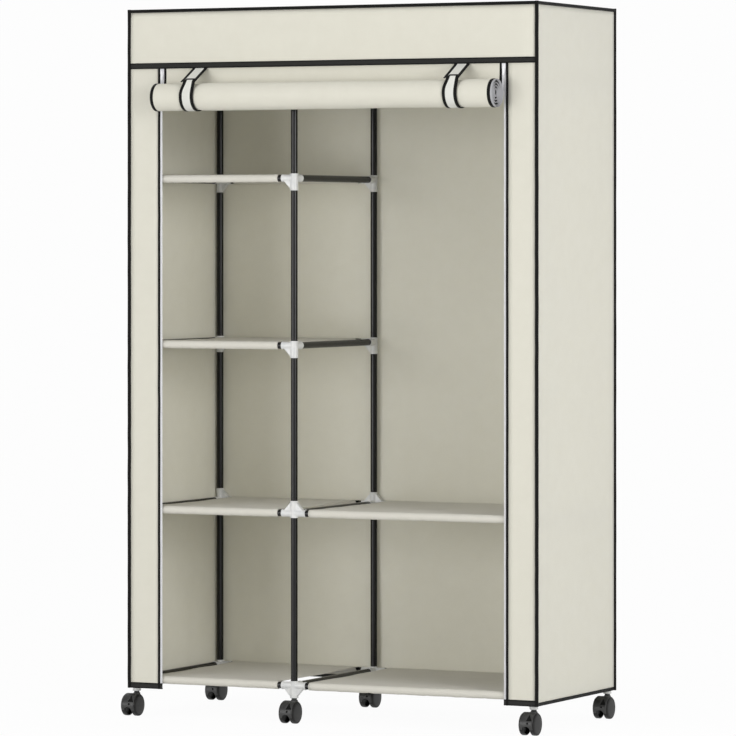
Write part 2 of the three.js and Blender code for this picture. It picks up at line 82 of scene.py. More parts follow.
post_x = {column: middle(f"post_front_{column}")[X] for column in COLUMNS}
post_y = {row: middle(f"post_{row}_left")[Y] for row in ROWS}
level_z = {level: middle(f"depth_tube_left_{level}")[Z] for level in LEVELS}
tube_radius = (high("post_front_left") - low("post_front_left"))[X] / 2
arm_length = low("depth_tube_left_top")[Y] - post_y["front"]

left_x, front_y, _ = low("side_panel_left")
right_x, back_y = high("side_panel_right")[X], high("back_panel")[Y]
cover_top, hem_z = high("top_panel")[Z], low("cover_binding")[Z]
zip_x = {"left": high("side_panel_left")[X], "right": low("side_panel_right")[X]}


def at_post(row, column, z=0.0):
    """The place on a post's axis at height z."""
    return post_x[column], post_y[row], z


print("front", front_y, "back", back_y, "sides", left_x, right_x, "top", cover_top)


# %% [markdown]
# ## The camera
# The photograph was taken with a long lens, level and from the right. Its upright edges stay
# parallel, so the camera looks straight ahead and the picture is framed with the lens shift.

# %% Camera
CAMERA_PLACE = (5.043, -10.2777, 1.150)
CAMERA_AZIMUTH = math.radians(26.1)
CAMERA_LENS, CAMERA_SENSOR = 236.9, 36
CAMERA_SHIFT = -0.186


def add(name, data):
    """A new object in the scene."""
    made = bpy.data.objects.new(name, data)
    bpy.context.scene.collection.objects.link(made)
    return made


camera = add("camera", bpy.data.cameras.new("camera"))
camera.data.lens, camera.data.sensor_width, camera.data.shift_y = CAMERA_LENS, CAMERA_SENSOR, CAMERA_SHIFT
camera.location = CAMERA_PLACE
camera.rotation_euler = (math.radians(90), 0, CAMERA_AZIMUTH)
bpy.context.scene.camera = camera

# %% [markdown]
# ## Meshes from grids of points
# Almost every surface here is a function of two parameters, worked out as one numpy array of
# points in rows and columns. `shell` joins neighbouring points by quads, and closes the grid in
# either direction when asked. Its texture coordinates are real distances along the surface, so
# a weave keeps its scale on any piece. `piece` turns a list of shells into one Blender object.

# %% Shells and pieces
SHARP_ANGLE = math.radians(38)
made_pieces = []


def shell(points, round_rows=False, round_columns=False, caps=False):
    """A grid of points (rows, columns, 3) with the quads between neighbours.
    A closed grid is turned so that its faces point out, by the sign of its volume."""
    points = np.asarray(points, float)
    rows, columns = points.shape[:2]
    index, spread = np.arange(rows * columns).reshape(rows, columns), points
    for axis, closed in enumerate((round_rows, round_columns)):
        if closed:
            index, spread = (np.concatenate([a, a.take([0], axis)], axis) for a in (index, spread))
    u, v = (np.r_[0, np.cumsum(np.linalg.norm(np.diff(spread, axis=k), axis=2).mean(1 - k))] for k in (0, 1))
    place = np.stack(np.meshgrid(u, v, indexing="ij"), -1)
    near, far = slice(None, -1), slice(1, None)
    quads, maps = (np.stack([a[near, near], a[far, near], a[far, far], a[near, far]], 2) for a in (index, place))
    quads, maps = quads.reshape(-1, 4), maps.reshape(-1, 4, 2)
    flat = points.reshape(-1, 3)
    ends = [index[0, :columns], index[-1, :columns][::-1]] if caps else []
    if caps or (round_rows and round_columns):
        a, b, c, d = (flat[quads[:, k]] for k in range(4))
        volume = (a * np.cross(b, c)).sum() + (a * np.cross(c, d)).sum()
        for end in ends:
            fan = flat[end]
            volume += (fan[0] * np.cross(fan[1:-1], fan[2:])).sum()
        if volume < 0:
            quads, maps, ends = quads[:, ::-1], maps[:, ::-1], [end[::-1] for end in ends]
    return {"points": flat, "quads": quads, "maps": maps, "ends": ends}


def moved(made, offset, mirror=(1, 1, 1)):
    """The same shell mirrored about the origin and then shifted; an odd mirror turns the faces."""
    step = -1 if np.prod(mirror) < 0 else 1
    return {"points": made["points"] * np.array(mirror) + np.array(offset),
            "quads": made["quads"][:, ::step], "maps": made["maps"][:, ::step],
            "ends": [end[::step] for end in made["ends"]]}


def mesh_of(name, shells):
    """One mesh from several shells, with its texture coordinates."""
    points, faces, maps, start = [], [], [], 0
    for made in shells:
        points.append(made["points"])
        faces += (made["quads"] + start).tolist() + [(end + start).tolist() for end in made["ends"]]
        maps += [made["maps"].reshape(-1, 2)] + [np.zeros((len(end), 2)) for end in made["ends"]]
        start += len(made["points"])
    mesh = bpy.data.meshes.new(name)
    mesh.from_pydata(np.concatenate(points), [], faces)
    layer = mesh.uv_layers.new(name="distance")
    layer.data.foreach_set("uv", np.concatenate(maps).astype(np.float32).ravel())
    return mesh


def piece(name, shells, material, slot, body="root", replaces=(), thickness=0, offset=0, sharp=SHARP_ANGLE):
    """An object made of shells, on its body, with a thickness where it is cloth."""
    mesh = mesh_of(name, shells)
    mesh.shade_smooth()
    if sharp:
        mesh.set_sharp_from_angle(angle=sharp)
    mesh.materials.append(material)
    made = add(name, mesh)
    if thickness:
        wall = made.modifiers.new("cloth", "SOLIDIFY")
        wall.thickness, wall.offset = thickness, offset
    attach(made, body)
    if replaces:
        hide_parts(*replaces)
    made_pieces.append(name)
    return made


# %% [markdown]
# ## Forms that repeat
# A turned form is a profile of radius and length carried round an axis. A swept form is a closed
# profile carried along a path. Cloth gets its unevenness from `ripple`, a sum of a few waves of
# seeded direction, so every run gives the same folds.

# %% Turned and swept forms
AXIS_POINT = 0.01 * MM
RIPPLE_WAVES = 9
TUBE_WALL, TUBE_LIP = 0.8 * MM, 0.3 * MM


def circle(steps):
    """Angles round a circle, without the last, which would be the first again."""
    return np.linspace(0, TAU, steps, endpoint=False)


def turned(profile, axis, centre, steps=32, closed=True):
    """Point = centre + axis * along + radius * (side * cos t + up * sin t), for each profile
    pair (radius, along) and t round the circle. A closed profile makes a ring."""
    profile = np.array(profile, float)
    ahead, side, up = np.roll(np.eye(3), -axis, axis=0)
    t = circle(steps)[:, None]
    points = profile[:, None, 1:] * ahead + profile[:, None, :1] * (np.cos(t) * side + np.sin(t) * up)
    return shell(points + np.array(centre), round_rows=closed, round_columns=True, caps=not closed)


def tube(start, length, axis):
    """A hollow tube with softly broken ends: outside, rounded rim, inside and rim again."""
    inner, lip = tube_radius - TUBE_WALL, TUBE_LIP
    return turned([(tube_radius - lip, 0), (tube_radius, lip), (tube_radius, length - lip),
                   (tube_radius - lip, length), (inner, length), (inner, 0)], axis, start)


def unit(vectors):
    """Rows of vectors divided by their lengths."""
    return vectors / np.linalg.norm(vectors, axis=1, keepdims=True)


def frames(path, hint):
    """Unit vectors along a path of points, square to it and to the hint, and the third one."""
    ahead = unit(np.gradient(path, axis=0))
    side = unit(np.cross(hint, ahead))
    return ahead, side, np.cross(ahead, side)


def swept(profile, path, hint, scale=None):
    """Point = path + u * up + v * side for each profile pair (u, v) and each path point. up is
    the hint made square to the path, so u is measured along the hint; v is across both."""
    path = np.asarray(path, float)
    _, side, up = frames(path, np.array(hint, float))
    size = np.ones(len(path)) if scale is None else scale
    u, v = (np.array(profile, float)[None, :, k, None] * size[:, None, None] for k in (0, 1))
    return shell(path[:, None] + u * up[:, None] + v * side[:, None], round_columns=True, caps=True)


def oval(width, height, steps=12, power=2.0):
    """A closed superellipse: power 2 is an ellipse, more makes it squarer."""
    t = circle(steps)
    return np.stack([np.sign(s) * np.abs(s) ** (2 / power) * size / 2
                     for s, size in ((np.cos(t), width), (np.sin(t), height))], 1)


def line(start, end, steps):
    """Even points from start to end."""
    return np.linspace(np.array(start, float), np.array(end, float), steps)


def distances(path):
    """The way from a path's start to each of its points."""
    return np.r_[0, np.cumsum(np.linalg.norm(np.diff(path, axis=0), axis=1))]


def picked(values, along, at):
    """Rows of values, given at the distances along, read at other distances."""
    return np.stack([np.interp(at, along, column) for column in np.asarray(values, float).T], 1)


def lozenges(centre, axes, stations, tip, width, rise, corners):
    """A small closed form at each centre: rings of a few corners, the first and last one tip
    times as large. axes are the forms' three directions, and all share the faces of the first."""
    ahead, side, up = (np.broadcast_to(axis, centre.shape)[:, None, None] for axis in axes)
    t = circle(corners)
    size = np.array([tip, 1, 1, tip])[:, None]
    points = (centre[:, None, None] + stations[:, None, None] * ahead
              + (size * np.cos(t) * width)[..., None] * side + (size * np.sin(t) * rise)[..., None] * up)
    one = shell(points[0], round_columns=True, caps=True)
    shifts = np.arange(len(centre)) * len(one["points"])
    return {"points": points.reshape(-1, 3), "quads": (one["quads"] + shifts[:, None, None]).reshape(-1, 4),
            "maps": np.tile(one["maps"], (len(centre), 1, 1)),
            "ends": [end + shift for shift in shifts for end in one["ends"]]}


def ripple(u, v, seed, wavelength):
    """About -1 to 1: the mean of cosines whose direction, pitch and phase come from the seed."""
    draw = np.random.default_rng(seed)
    total = np.zeros(np.broadcast(u, v).shape)
    for _ in range(RIPPLE_WAVES):
        angle, phase = draw.uniform(0, TAU, 2)
        pitch = TAU / wavelength * draw.uniform(0.6, 1.6)
        total = total + np.cos(pitch * (u * math.cos(angle) + v * math.sin(angle)) + phase)
    return total / math.sqrt(RIPPLE_WAVES)


def ease(t):
    """t * t * (3 - 2 * t): 0 below 0, 1 above 1 and a smooth way between."""
    t = np.clip(t, 0, 1)
    return t * t * (3 - 2 * t)


# %% [markdown]
# ## Shader maths as Python
# `Shade` wraps one output socket of a node. Arithmetic on it adds Math nodes, so a mask reads as
# an expression. Every other node comes from `Shade.node`, which takes the node's type, its
# settings and what goes into its sockets. Colours go through Mix nodes, never through Math.

# %% The socket wrapper
class Shade:
    """One output socket. Sums and products of it are the outputs of new Math nodes."""

    def __init__(self, tree, socket):
        self.tree, self.socket = tree, socket

    def node(self, kind, settings=None, out=0, **inputs):
        """A node of this tree: settings first, then its inputs by name, then one output."""
        made = self.tree.nodes.new("ShaderNode" + kind)
        for key, value in (settings or {}).items():
            setattr(made, key, value)
        for key, value in inputs.items():
            feed(self.tree, made.inputs[int(key[1:])] if key[0] == "_" else made.inputs[key.replace("_", " ")], value)
        return Shade(self.tree, made.outputs[out])

    def math(self, operation, *values):
        """A Math node on the values, which are sockets or numbers."""
        return self.node("Math", {"operation": operation}, **{f"_{k}": value for k, value in enumerate(values)})

    def __add__(self, other):
        return self.math("ADD", self, other)

    __radd__ = __add__

    def __sub__(self, other):
        return self.math("SUBTRACT", self, other)

    def __rsub__(self, other):
        return self.math("SUBTRACT", other, self)

    def __mul__(self, other):
        return self.math("MULTIPLY", self, other)

    __rmul__ = __mul__

    def sine(self):
        """The sine of this value, in radians."""
        return self.math("SINE", self)

    def steps(self, start, end):
        """0 below start, 1 above end and a smooth way between."""
        return self.node("MapRange", {"interpolation_type": "SMOOTHSTEP"}, Value=self, From_Min=start, From_Max=end)

    def part(self, index):
        """One coordinate of a vector."""
        return self.node("SeparateXYZ", out=index, Vector=self)

    def mix(self, colour_a, colour_b):
        """colour_a where this value is 0 and colour_b where it is 1."""
        return self.node("Mix", {"data_type": "RGBA"}, out=2, _0=self, _6=colour_a, _7=colour_b)

    def noise(self, scale, detail, roughness=0.5):
        """Noise between 0 and 1 at this place."""
        return self.node("TexNoise", Vector=self, Scale=scale, Detail=detail, Roughness=roughness)

    def bump(self, distance, strength, **normal):
        """A normal bent by this height."""
        return self.node("Bump", Height=self, Distance=distance, Strength=strength, **normal)


def feed(tree, socket, value):
    """Links a Shade to a socket, or sets it to a plain value."""
    if isinstance(value, Shade):
        tree.links.new(value.socket, socket)
    else:
        socket.default_value = value


def paint(name, **inputs):
    """Finishes a material: colour, roughness and normal may vary, the rest are plain numbers."""
    tree = bpy.data.materials[name].node_tree
    shader = next(n for n in tree.nodes if n.type == "BSDF_PRINCIPLED")
    for key, value in inputs.items():
        feed(tree, shader.inputs[key.replace("_", " ")], value)
    return bpy.data.materials[name]


def start_material(name, source="Object"):
    """A new material's coordinates, in metres: Object space, or UV distances on cloth."""
    material = bpy.data.materials.new(name)
    material.use_nodes = True
    tree = material.node_tree
    return Shade(tree, tree.nodes.new("ShaderNodeTexCoord").outputs[source])


def srgb(red, green, blue):
    """A colour as seen on screen, 0 to 255, in Blender's linear numbers."""
    share = np.array([red, green, blue]) / 255
    linear = np.where(share <= 0.04045, share / 12.92, ((share + 0.055) / 1.055) ** 2.4)
    return (*linear.tolist(), 1.0)


# %% [markdown]
# ## Cloth, tape and webbing
# The cover is spunbonded cloth: soft fibres pressed together at a fine grid of points. The grid
# is a product of two sine waves in the cloth's own distances, and noise gives the fibres and the
# faint clouds. The sides, back and top are thin enough to let light into the wardrobe, which
# subsurface scattering imitates. The edging is a ribbed black tape. The door's zip tape is painted
# greyer along its length: painted shade for its inner turns, which lie in each other's shade.

# %% Cloth materials
SPUN_PITCH = 1.6 * MM
FIBRE_SIZE = 700.0
CLOUD_SIZE = 26.0
# Distances along the door's tape where its painted shade starts and where it is full.
PAINTED_SHADE_START, PAINTED_SHADE_FULL = 0.13, 0.2


def spun_cloth(name, light, dark, **plain):
    """Cream cloth: pressed points in a fine grid, fibres and soft clouds."""
    uv = start_material(name, "UV")
    u, v = uv.part(X) * (TAU / SPUN_PITCH), uv.part(Y) * (TAU / SPUN_PITCH)
    pressed = ((u + v).sine() * (u - v).sine()).steps(0.25, 0.9)
    fibre, cloud = uv.noise(FIBRE_SIZE, 4.0, 0.7), uv.noise(CLOUD_SIZE, 5.0, 0.62)
    tone = (cloud * 0.3 + fibre * 0.7).steps(0.2, 0.85)
    normal = (fibre * 0.6 - pressed * 0.8).bump(0.12 * MM, 0.55, Normal=cloud.bump(0.9 * MM, 0.25))
    return paint(name, Base_Color=tone.mix(dark, light), Roughness=0.82 + fibre * 0.1, Normal=normal,
                 Sheen_Weight=0.12, Sheen_Roughness=0.6, Specular_IOR_Level=0.3, **plain)


def ribbed_tape(name, light, dark, pitch, roughness, specular=0.3, painted_shade=None):
    """Woven tape: fine ribs across, with noise that breaks them. Between two distances along it,
    it may turn to a darker colour: painted shade for turns that lie in shade."""
    uv = start_material(name, "UV")
    ribs = (uv.part(X) * (TAU / pitch)).sine() * 0.5 + 0.5
    cross = (uv.part(Y) * (TAU / pitch * 1.3)).sine() * 0.5 + 0.5
    weave, wear = ribs * 0.65 + cross * 0.35, uv.noise(320.0, 3.0, 0.6)
    colour = (weave * 0.5 + wear * 0.5).steps(0.25, 0.8).mix(dark, light)
    if painted_shade:
        # Painted shade: the tape's colour darkens along its length, where the wound turns shade one another.
        colour = uv.part(X).steps(PAINTED_SHADE_START, PAINTED_SHADE_FULL).mix(colour, painted_shade)
    return paint(name, Base_Color=colour, Roughness=roughness + wear * 0.12,
                 Normal=(weave + wear * 0.4).bump(0.15 * MM, 0.8), Sheen_Weight=0.03, Sheen_Roughness=0.5,
                 Specular_IOR_Level=specular)


cover_tones = srgb(226, 224, 211), srgb(216, 213, 199)
tape_look = srgb(236, 236, 238), srgb(206, 206, 210), 1.1 * MM, 0.62
cover_cloth = spun_cloth("cover_cloth", *cover_tones)
lit_cloth = spun_cloth("lit_cloth", *cover_tones, Subsurface_Weight=0.45, Subsurface_Radius=(1, 0.97, 0.88),
                       Subsurface_Scale=3 * MM)
shelf_cloth = spun_cloth("shelf_cloth", srgb(221, 218, 208), srgb(209, 206, 195))
strap_cloth = spun_cloth("strap_cloth", srgb(230, 230, 224), srgb(217, 217, 209))
black_tape = ribbed_tape("black_tape", srgb(30, 30, 26), srgb(14, 14, 12), 0.9 * MM, 0.5)
black_piping = ribbed_tape("black_piping", srgb(16, 16, 14), srgb(7, 7, 6), 0.9 * MM, 0.6, specular=0.15)
zip_tape = ribbed_tape("zip_tape", *tape_look)
# The door's zip tape, whose wound part is greyed as painted shade.
wound_tape_painted_shade = ribbed_tape("wound_tape_painted_shade", *tape_look, painted_shade=srgb(176, 176, 179))
black_thread = ribbed_tape("black_thread", srgb(44, 44, 41), srgb(20, 20, 18), 0.5 * MM, 0.5)
cream_thread = ribbed_tape("cream_thread", srgb(240, 239, 230), srgb(214, 212, 200), 0.5 * MM, 0.6)

# %% [markdown]
# ## Metal and moulded plastic
# Powder coat is a thin dusted-on paint: dark, semi-gloss, with a fine orange peel. The white
# fittings are moulded plastic with a faint flow mark, and the casters are a softer black.

# %% Metal and plastic materials
def powder_coat(name, colour_a, colour_b, roughness):
    """Powder coat: orange peel from fine noise, and dull spots."""
    place = start_material(name)
    peel, dust = place.noise(1400.0, 2.0, 0.5), place.noise(240.0, 3.0, 0.6)
    return paint(name, Base_Color=dust.steps(0.35, 0.7).mix(colour_a, colour_b), Roughness=roughness + dust * 0.1,
                 Normal=peel.bump(0.05 * MM, 0.35), Specular_IOR_Level=0.36)


def moulded(name, colour_a, colour_b, roughness, depth=0.03 * MM, coat=0.0, specular=0.5):
    """Moulded plastic: a fine grain, and slow flow marks in colour and gloss."""
    place = start_material(name)
    fine, flow = place.noise(900.0, 2.0, 0.5), place.noise(55.0, 3.0, 0.55)
    return paint(name, Base_Color=flow.steps(0.3, 0.7).mix(colour_a, colour_b), Roughness=roughness + flow * 0.12,
                 Normal=(fine + flow * 0.6).bump(depth, 0.6), Coat_Weight=coat, Coat_Roughness=0.12,
                 Specular_IOR_Level=specular)


tube_paint = powder_coat("tube_paint", srgb(4, 4, 4), srgb(9, 9, 8), 0.19)
fitting_white = moulded("fitting_white", srgb(222, 222, 219), srgb(209, 210, 209), 0.3, coat=0.15)
zip_white = moulded("zip_white", srgb(240, 240, 242), srgb(226, 227, 230), 0.2, coat=0.3)
caster_black = moulded("caster_black", srgb(34, 34, 33), srgb(48, 48, 47), 0.38, coat=0.08)
wheel_black = moulded("wheel_black", srgb(18, 18, 17), srgb(28, 28, 27), 0.36, depth=0.05 * MM, specular=0.24)

# %% [markdown]
# ## Posts and tubes
# The frame is 16 mm steel tube. Each post is really two or three lengths pushed together inside
# the fittings, and each bay has its own rail tube. A rail tube runs from fitting to fitting, and
# its dark end shows between the white fitting and the shelf's sleeve.

# %% Posts, depth tubes, rail tubes and rod
FITTING_GRIP = 12 * MM


def coated(name, node, start, length, axis, more=()):
    """A painted tube, with what is welded to it, in place of a node."""
    piece(name, [tube(start, length, axis), *more], tube_paint, "tube_steel", replaces=[node])


def gripped(node, axis):
    """A node's tube along an axis, lengthened at both ends into the fittings."""
    start = middle(node)
    start[axis] = low(node)[axis] - FITTING_GRIP
    coated(f"coated_{node}", node, start, (high(node) - low(node))[axis] + 2 * FITTING_GRIP, axis)


def bays_of(level):
    """The post columns at the two ends of each rail tube of a level."""
    bays = [("left", "centre"), ("centre", "right")]
    return bays if high(f"rail_front_{level}")[X] > post_x["right"] else bays[:1]


for row in ROWS:
    for column in COLUMNS:
        node = f"post_{row}_{column}"
        coated(f"tube_{node}", node, at_post(row, column, low(node)[Z]), (high(node) - low(node))[Z], Z)
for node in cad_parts:
    if node.startswith("depth_tube_"):
        gripped(node, Y)
for row in ROWS:
    for level in LEVELS:
        for first, last in bays_of(level):
            start = post_x[first] + arm_length - FITTING_GRIP
            length = post_x[last] - post_x[first] - 2 * (arm_length - FITTING_GRIP)
            coated(f"rail_tube_{row}_{level}_{first}", f"rail_{row}_{level}",
                   (start, post_y[row], level_z[level]), length, X)
gripped("hanging_rod", X)
print("tubes", len(made_pieces))

# %% [markdown]
# ## Moulded fittings
# A fitting is one moulding: a collar on the post, a sleeve for each tube that meets it and a
# thick web in the corner. The forms run into each other with soft fillets. That is easiest to
# get by joining plain turned forms, wrapping them in one skin with a voxel remesh and smoothing
# it. Each kind is made once, and each place gets a copy, mirrored where the frame mirrors.

# %% Fitting shapes
COLLAR_RADIUS = tube_radius + 1.3 * MM
ARM_RADIUS = tube_radius + 0.75 * MM
COLLAR_LONG, COLLAR_SHORT = 29 * MM, 11 * MM
HEAD_RISE = 6.3 * MM
WEB_RISE, WEB_HALF = 28 * MM, 6.2 * MM
RIM_LIP, RIM_RISE = 1.2 * MM, 0.8 * MM
VOXEL = 0.6 * MM
FILLET_PASSES = 6
KEPT_SHARE = 0.2


def bar(start, axis, length, radius):
    """A solid round bar from start, with a slightly thicker rim at its end. A negative length
    goes against the axis."""
    sign, length = math.copysign(1, length), abs(length)
    profile = [(AXIS_POINT, 0), (radius, 0), (radius, length - 2.4 * RIM_LIP),
               (radius + RIM_RISE, length - 2 * RIM_LIP), (radius + RIM_RISE, length - 0.3 * RIM_LIP),
               (radius + RIM_RISE / 2, length), (AXIS_POINT, length)]
    return turned([(r, sign * along) for r, along in profile], axis, start, 40, closed=False)


def upright(outline, y, x=0.0):
    """An outline of (x, z) points as points in space, at one y."""
    return np.column_stack([x + outline[:, 0], np.full(len(outline), y), outline[:, 1]])


def web_plate(side, up):
    """The thick web in the corner between an arm and the collar: a triangle, extruded."""
    t = np.linspace(0, 1, 14)
    reach = (arm_length - 1 * MM) * (1 - t) + COLLAR_RADIUS * 0.6 * t
    outline = np.vstack([[[0, 0]], np.stack([side * reach, up * WEB_RISE * t], 1), [[0, up * WEB_RISE]]])
    return shell([upright(outline, y) for y in (-WEB_HALF, WEB_HALF)], round_columns=True, caps=True)


def moulded_fitting(up, down, web, sides):
    """Remeshes collar, arms and webs into one smooth skin. web is +1, -1 for up or down."""
    origin = (0, 0, 0)
    parts = [bar(origin, Z, up, COLLAR_RADIUS), bar(origin, Z, -down, COLLAR_RADIUS),
             bar(origin, Y, arm_length, ARM_RADIUS)]
    for side in sides:
        parts += [bar(origin, X, side * arm_length, ARM_RADIUS), web_plate(side, web)]
    rough = add("rough_fitting", mesh_of("rough_fitting", parts))
    skin, soft, fewer = (rough.modifiers.new(kind.lower(), kind) for kind in ("REMESH", "SMOOTH", "DECIMATE"))
    skin.mode, skin.voxel_size, skin.adaptivity = "VOXEL", VOXEL, 0
    soft.factor, soft.iterations = 0.5, FILLET_PASSES
    fewer.ratio = KEPT_SHARE
    skinned = bpy.data.meshes.new_from_object(rough.evaluated_get(bpy.context.evaluated_depsgraph_get()))
    skinned.calc_loop_triangles()
    points = np.zeros(len(skinned.vertices) * 3, np.float32)
    corners = np.zeros(len(skinned.loop_triangles) * 3, np.int32)
    skinned.vertices.foreach_get("co", points)
    skinned.loop_triangles.foreach_get("vertices", corners)
    bpy.data.objects.remove(rough)
    triangles = corners.reshape(-1, 3)
    return {"points": points.reshape(-1, 3).astype(float), "quads": triangles,
            "maps": np.zeros((len(triangles), 3, 2)), "ends": []}


collars = {level: (COLLAR_SHORT, COLLAR_LONG, -1) for level in LEVELS}
collars["lower"], collars["top"] = (COLLAR_LONG, COLLAR_SHORT, 1), (HEAD_RISE, COLLAR_LONG, -1)
fitting_kinds = {}
for row in ROWS:
    for level in LEVELS:
        bays = bays_of(level)
        for column in COLUMNS:
            sides = tuple(s for s, bay_end in ((-1, 1), (1, 0)) if any(bay[bay_end] == column for bay in bays))
            if not sides:
                continue
            key = collars[level], len(sides)
            if key not in fitting_kinds:
                fitting_kinds[key] = moulded_fitting(*collars[level], sides if len(sides) == 2 else (1,))
            mirror = (sides[0] if len(sides) == 1 else 1, 1 if row == "front" else -1, 1)
            made = moved(fitting_kinds[key], at_post(row, column, level_z[level]), mirror)
            piece(f"fitting_{row}_{level}_{column}", [made], fitting_white, "fitting_plastic",
                  replaces=[f"rail_{row}_{level}"], sharp=0)
print("fitting kinds", len(fitting_kinds), "faces of each", [len(made["quads"]) for made in fitting_kinds.values()])

# %% [markdown]
# ## Crossbars for the rod
# Two crossbars join the front and rear posts behind the valance, and a tee on each takes the
# rod's end. They are painted like the tubes, with the same moulded collars.

# %% Crossbars
for column, side in (("centre", 1), ("right", -1)):
    node = f"hanging_crossbar_{column}"
    _, rod_y, rod_z = middle("hanging_rod")
    parts = []
    for row, inward in (("front", 1), ("rear", -1)):
        bore = tube_radius + 0.1 * MM
        parts += [turned([(bore, -COLLAR_LONG), (COLLAR_RADIUS, -COLLAR_LONG), (COLLAR_RADIUS, COLLAR_SHORT),
                          (bore, COLLAR_SHORT)], Z, at_post(row, column, rod_z)),
                  bar(at_post(row, column, rod_z), Y, inward * arm_length, ARM_RADIUS)]
    half, tee = arm_length / 2, (post_x[column], rod_y, rod_z)
    parts += [turned([(AXIS_POINT, -half), (ARM_RADIUS, -half), (ARM_RADIUS, half), (AXIS_POINT, half)], Y, tee,
                     closed=False), bar(tee, X, side * arm_length, ARM_RADIUS)]
    coated(f"coated_{node}", node, (post_x[column], post_y["front"] + COLLAR_RADIUS / 2, rod_z),
           post_y["rear"] - post_y["front"] - COLLAR_RADIUS, Y, parts)

# %% [markdown]
# ## Fabric shelves
# A shelf is one cut of cloth. Its front and rear edges are folded back round the tubes and
# stitched down, so the cross-section is a sheet with a drop-shaped sleeve at each end. The sheet
# sags a little between the tubes and puckers along the seams.

# %% Shelves
SLEEVE_RADIUS = tube_radius + 0.7 * MM
SEAM_SETBACK = 19 * MM
SHELF_SAG, SHELF_WAVE, SHELF_PUCKER = 3.0 * MM, 0.5 * MM, 0.28 * MM
SHELF_WAVE_SPAN, SHELF_PUCKER_SPAN = 0.16, 0.022
SHELF_STEP = 9 * MM
CLOTH = 0.9 * MM
STITCH_PITCH, STITCH_LENGTH, STITCH_WIDTH = 3.2 * MM, 2.1 * MM, 0.55 * MM


def sleeve_section(centre_y, z, inward):
    """The cloth's middle line from the seam under the sheet, round the tube and onto its top."""
    seam = np.array([SEAM_SETBACK, SLEEVE_RADIUS - CLOTH * 1.2])
    touch = math.atan2(seam[1], seam[0]) - math.acos(SLEEVE_RADIUS / np.hypot(*seam))
    angle = np.linspace(touch, -1.5 * math.pi, 26)
    ring = SLEEVE_RADIUS * np.stack([np.cos(angle), np.sin(angle)], 1)
    section = np.vstack([line(seam, ring[0], 5)[:-1], ring])
    return np.column_stack([centre_y + inward * section[:, 0], z + section[:, 1]])


def shelf_sheet(node, seed):
    """Rows along X, columns along the cross-section; the sheet between the sleeves sags."""
    x0, x1 = low(node)[X], high(node)[X]
    z = low(node)[Z] + SLEEVE_RADIUS
    front = sleeve_section(post_y["front"], z, 1)
    rear = sleeve_section(post_y["rear"], z, -1)[::-1]
    t = np.linspace(0, 1, 44)[1:-1]
    flat_y = post_y["front"] + (post_y["rear"] - post_y["front"]) * t
    section = np.vstack([front, np.column_stack([flat_y, np.full(len(t), z + SLEEVE_RADIUS)]), rear])
    x = np.linspace(x0, x1, max(24, int((x1 - x0) / SHELF_STEP)))[:, None]
    share = np.zeros(len(section))
    share[len(front):len(front) + len(t)] = t
    hang = np.sin(math.pi * share)
    free = hang ** 0.5
    sag = SHELF_SAG * hang * (ease(np.minimum(x - x0, x1 - x) / (60 * MM)) * 0.5 + 0.5)
    wave = ripple(x, section[:, 0], seed, SHELF_WAVE_SPAN) * SHELF_WAVE
    pucker = ripple(x, section[:, 0] * 0.15, seed + 1, SHELF_PUCKER_SPAN) * SHELF_PUCKER
    return np.stack([x + 0 * wave, section[:, 0] + pucker * (1 - free) * 0.3,
                     section[:, 1] - sag + wave * free + pucker * (1 - 0.7 * free)], -1), section


def stitches(path, hint, rise=0.35 * MM):
    """A row of stitches along a path: each is a small lozenge of five-sided rings, a few faces."""
    along = distances(path)
    centre = picked(path, along, np.arange(STITCH_PITCH, along[-1] - STITCH_PITCH, STITCH_PITCH))
    return lozenges(centre, frames(centre, np.array(hint, float)), np.array([-0.5, -0.3, 0.3, 0.5]) * STITCH_LENGTH,
                    0.25, STITCH_WIDTH / 2, rise, 5)


for seed, node in enumerate(sorted(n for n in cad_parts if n.startswith("shelf_")), 20):
    points, section = shelf_sheet(node, seed)
    cloth = piece(f"cloth_{node}", [shell(points)], shelf_cloth, "shelf_fabric", replaces=[node], thickness=CLOTH)
    rows = []
    for row, inward in (("front", 1), ("rear", -1)):
        away = np.abs(points[0, :, Y] - post_y[row] - inward * SEAM_SETBACK * 0.86)
        away[points[0, :, Z] < points[0, :, Z].max() - 2.5 * MM] = 1
        rows.append(stitches(points[:, int(np.argmin(away))] + UP * CLOTH / 2, UP))
    seams = piece(f"seam_{node}", rows, cream_thread, "shelf_fabric")
    _, bay, level = node.split("_")
    high(node)[X] - low(node)[X]
    float(distances(section)[-1])
    print(node, "cloth length", distances(section)[-1])

# %% [markdown]
# ## The cover's panels
# The cover is sewn from flat cuts: two front strips, two sides, a back, a top and the valance that
# hides the zip's head. Hung on the frame they are nearly flat, so each is a plane with a slow wave
# that dies out at its seams. The valance is sewn in at the top and at both ends and stands a few
# millimetres off the strips between them.

# %% Panels
PANEL_STEP, PANEL_WAVE = 14 * MM, 0.34
SEAM_LAP = 0.6 * MM
PIPING_ASIDE = 8.25 * MM
VALANCE_OFF = front_y - low("top_panel")[Y] - SEAM_LAP
VALANCE_WAVE, VALANCE_END, VALANCE_DROP = 0.5 * MM, 26 * MM, 16 * MM
band_low, band_high = low("top_panel")[Z] - 14.6 * MM, low("top_panel")[Z] - 0.6 * MM
piping_x = {"left": zip_x["left"] - PIPING_ASIDE, "right": zip_x["right"] + PIPING_ASIDE}
inner_front, inner_back = front_y + SEAM_LAP, back_y - SEAM_LAP
inner_left, inner_right = left_x + SEAM_LAP, right_x - SEAM_LAP
panel_low, panel_high = hem_z + 2 * MM, cover_top - 1.5 * MM


def grid(start, across, up):
    """Two arrays of distance over a panel and the flat points start + u * across + v * up."""
    across, up = np.array(across, float), np.array(up, float)
    wide, tall = np.linalg.norm(across), np.linalg.norm(up)
    u, v = (np.linspace(0, size, max(6, int(size / PANEL_STEP))) for size in (wide, tall))
    u = u[:, None]
    return u, v, np.array(start) + (u / wide)[..., None] * across + (v / tall)[:, None] * up


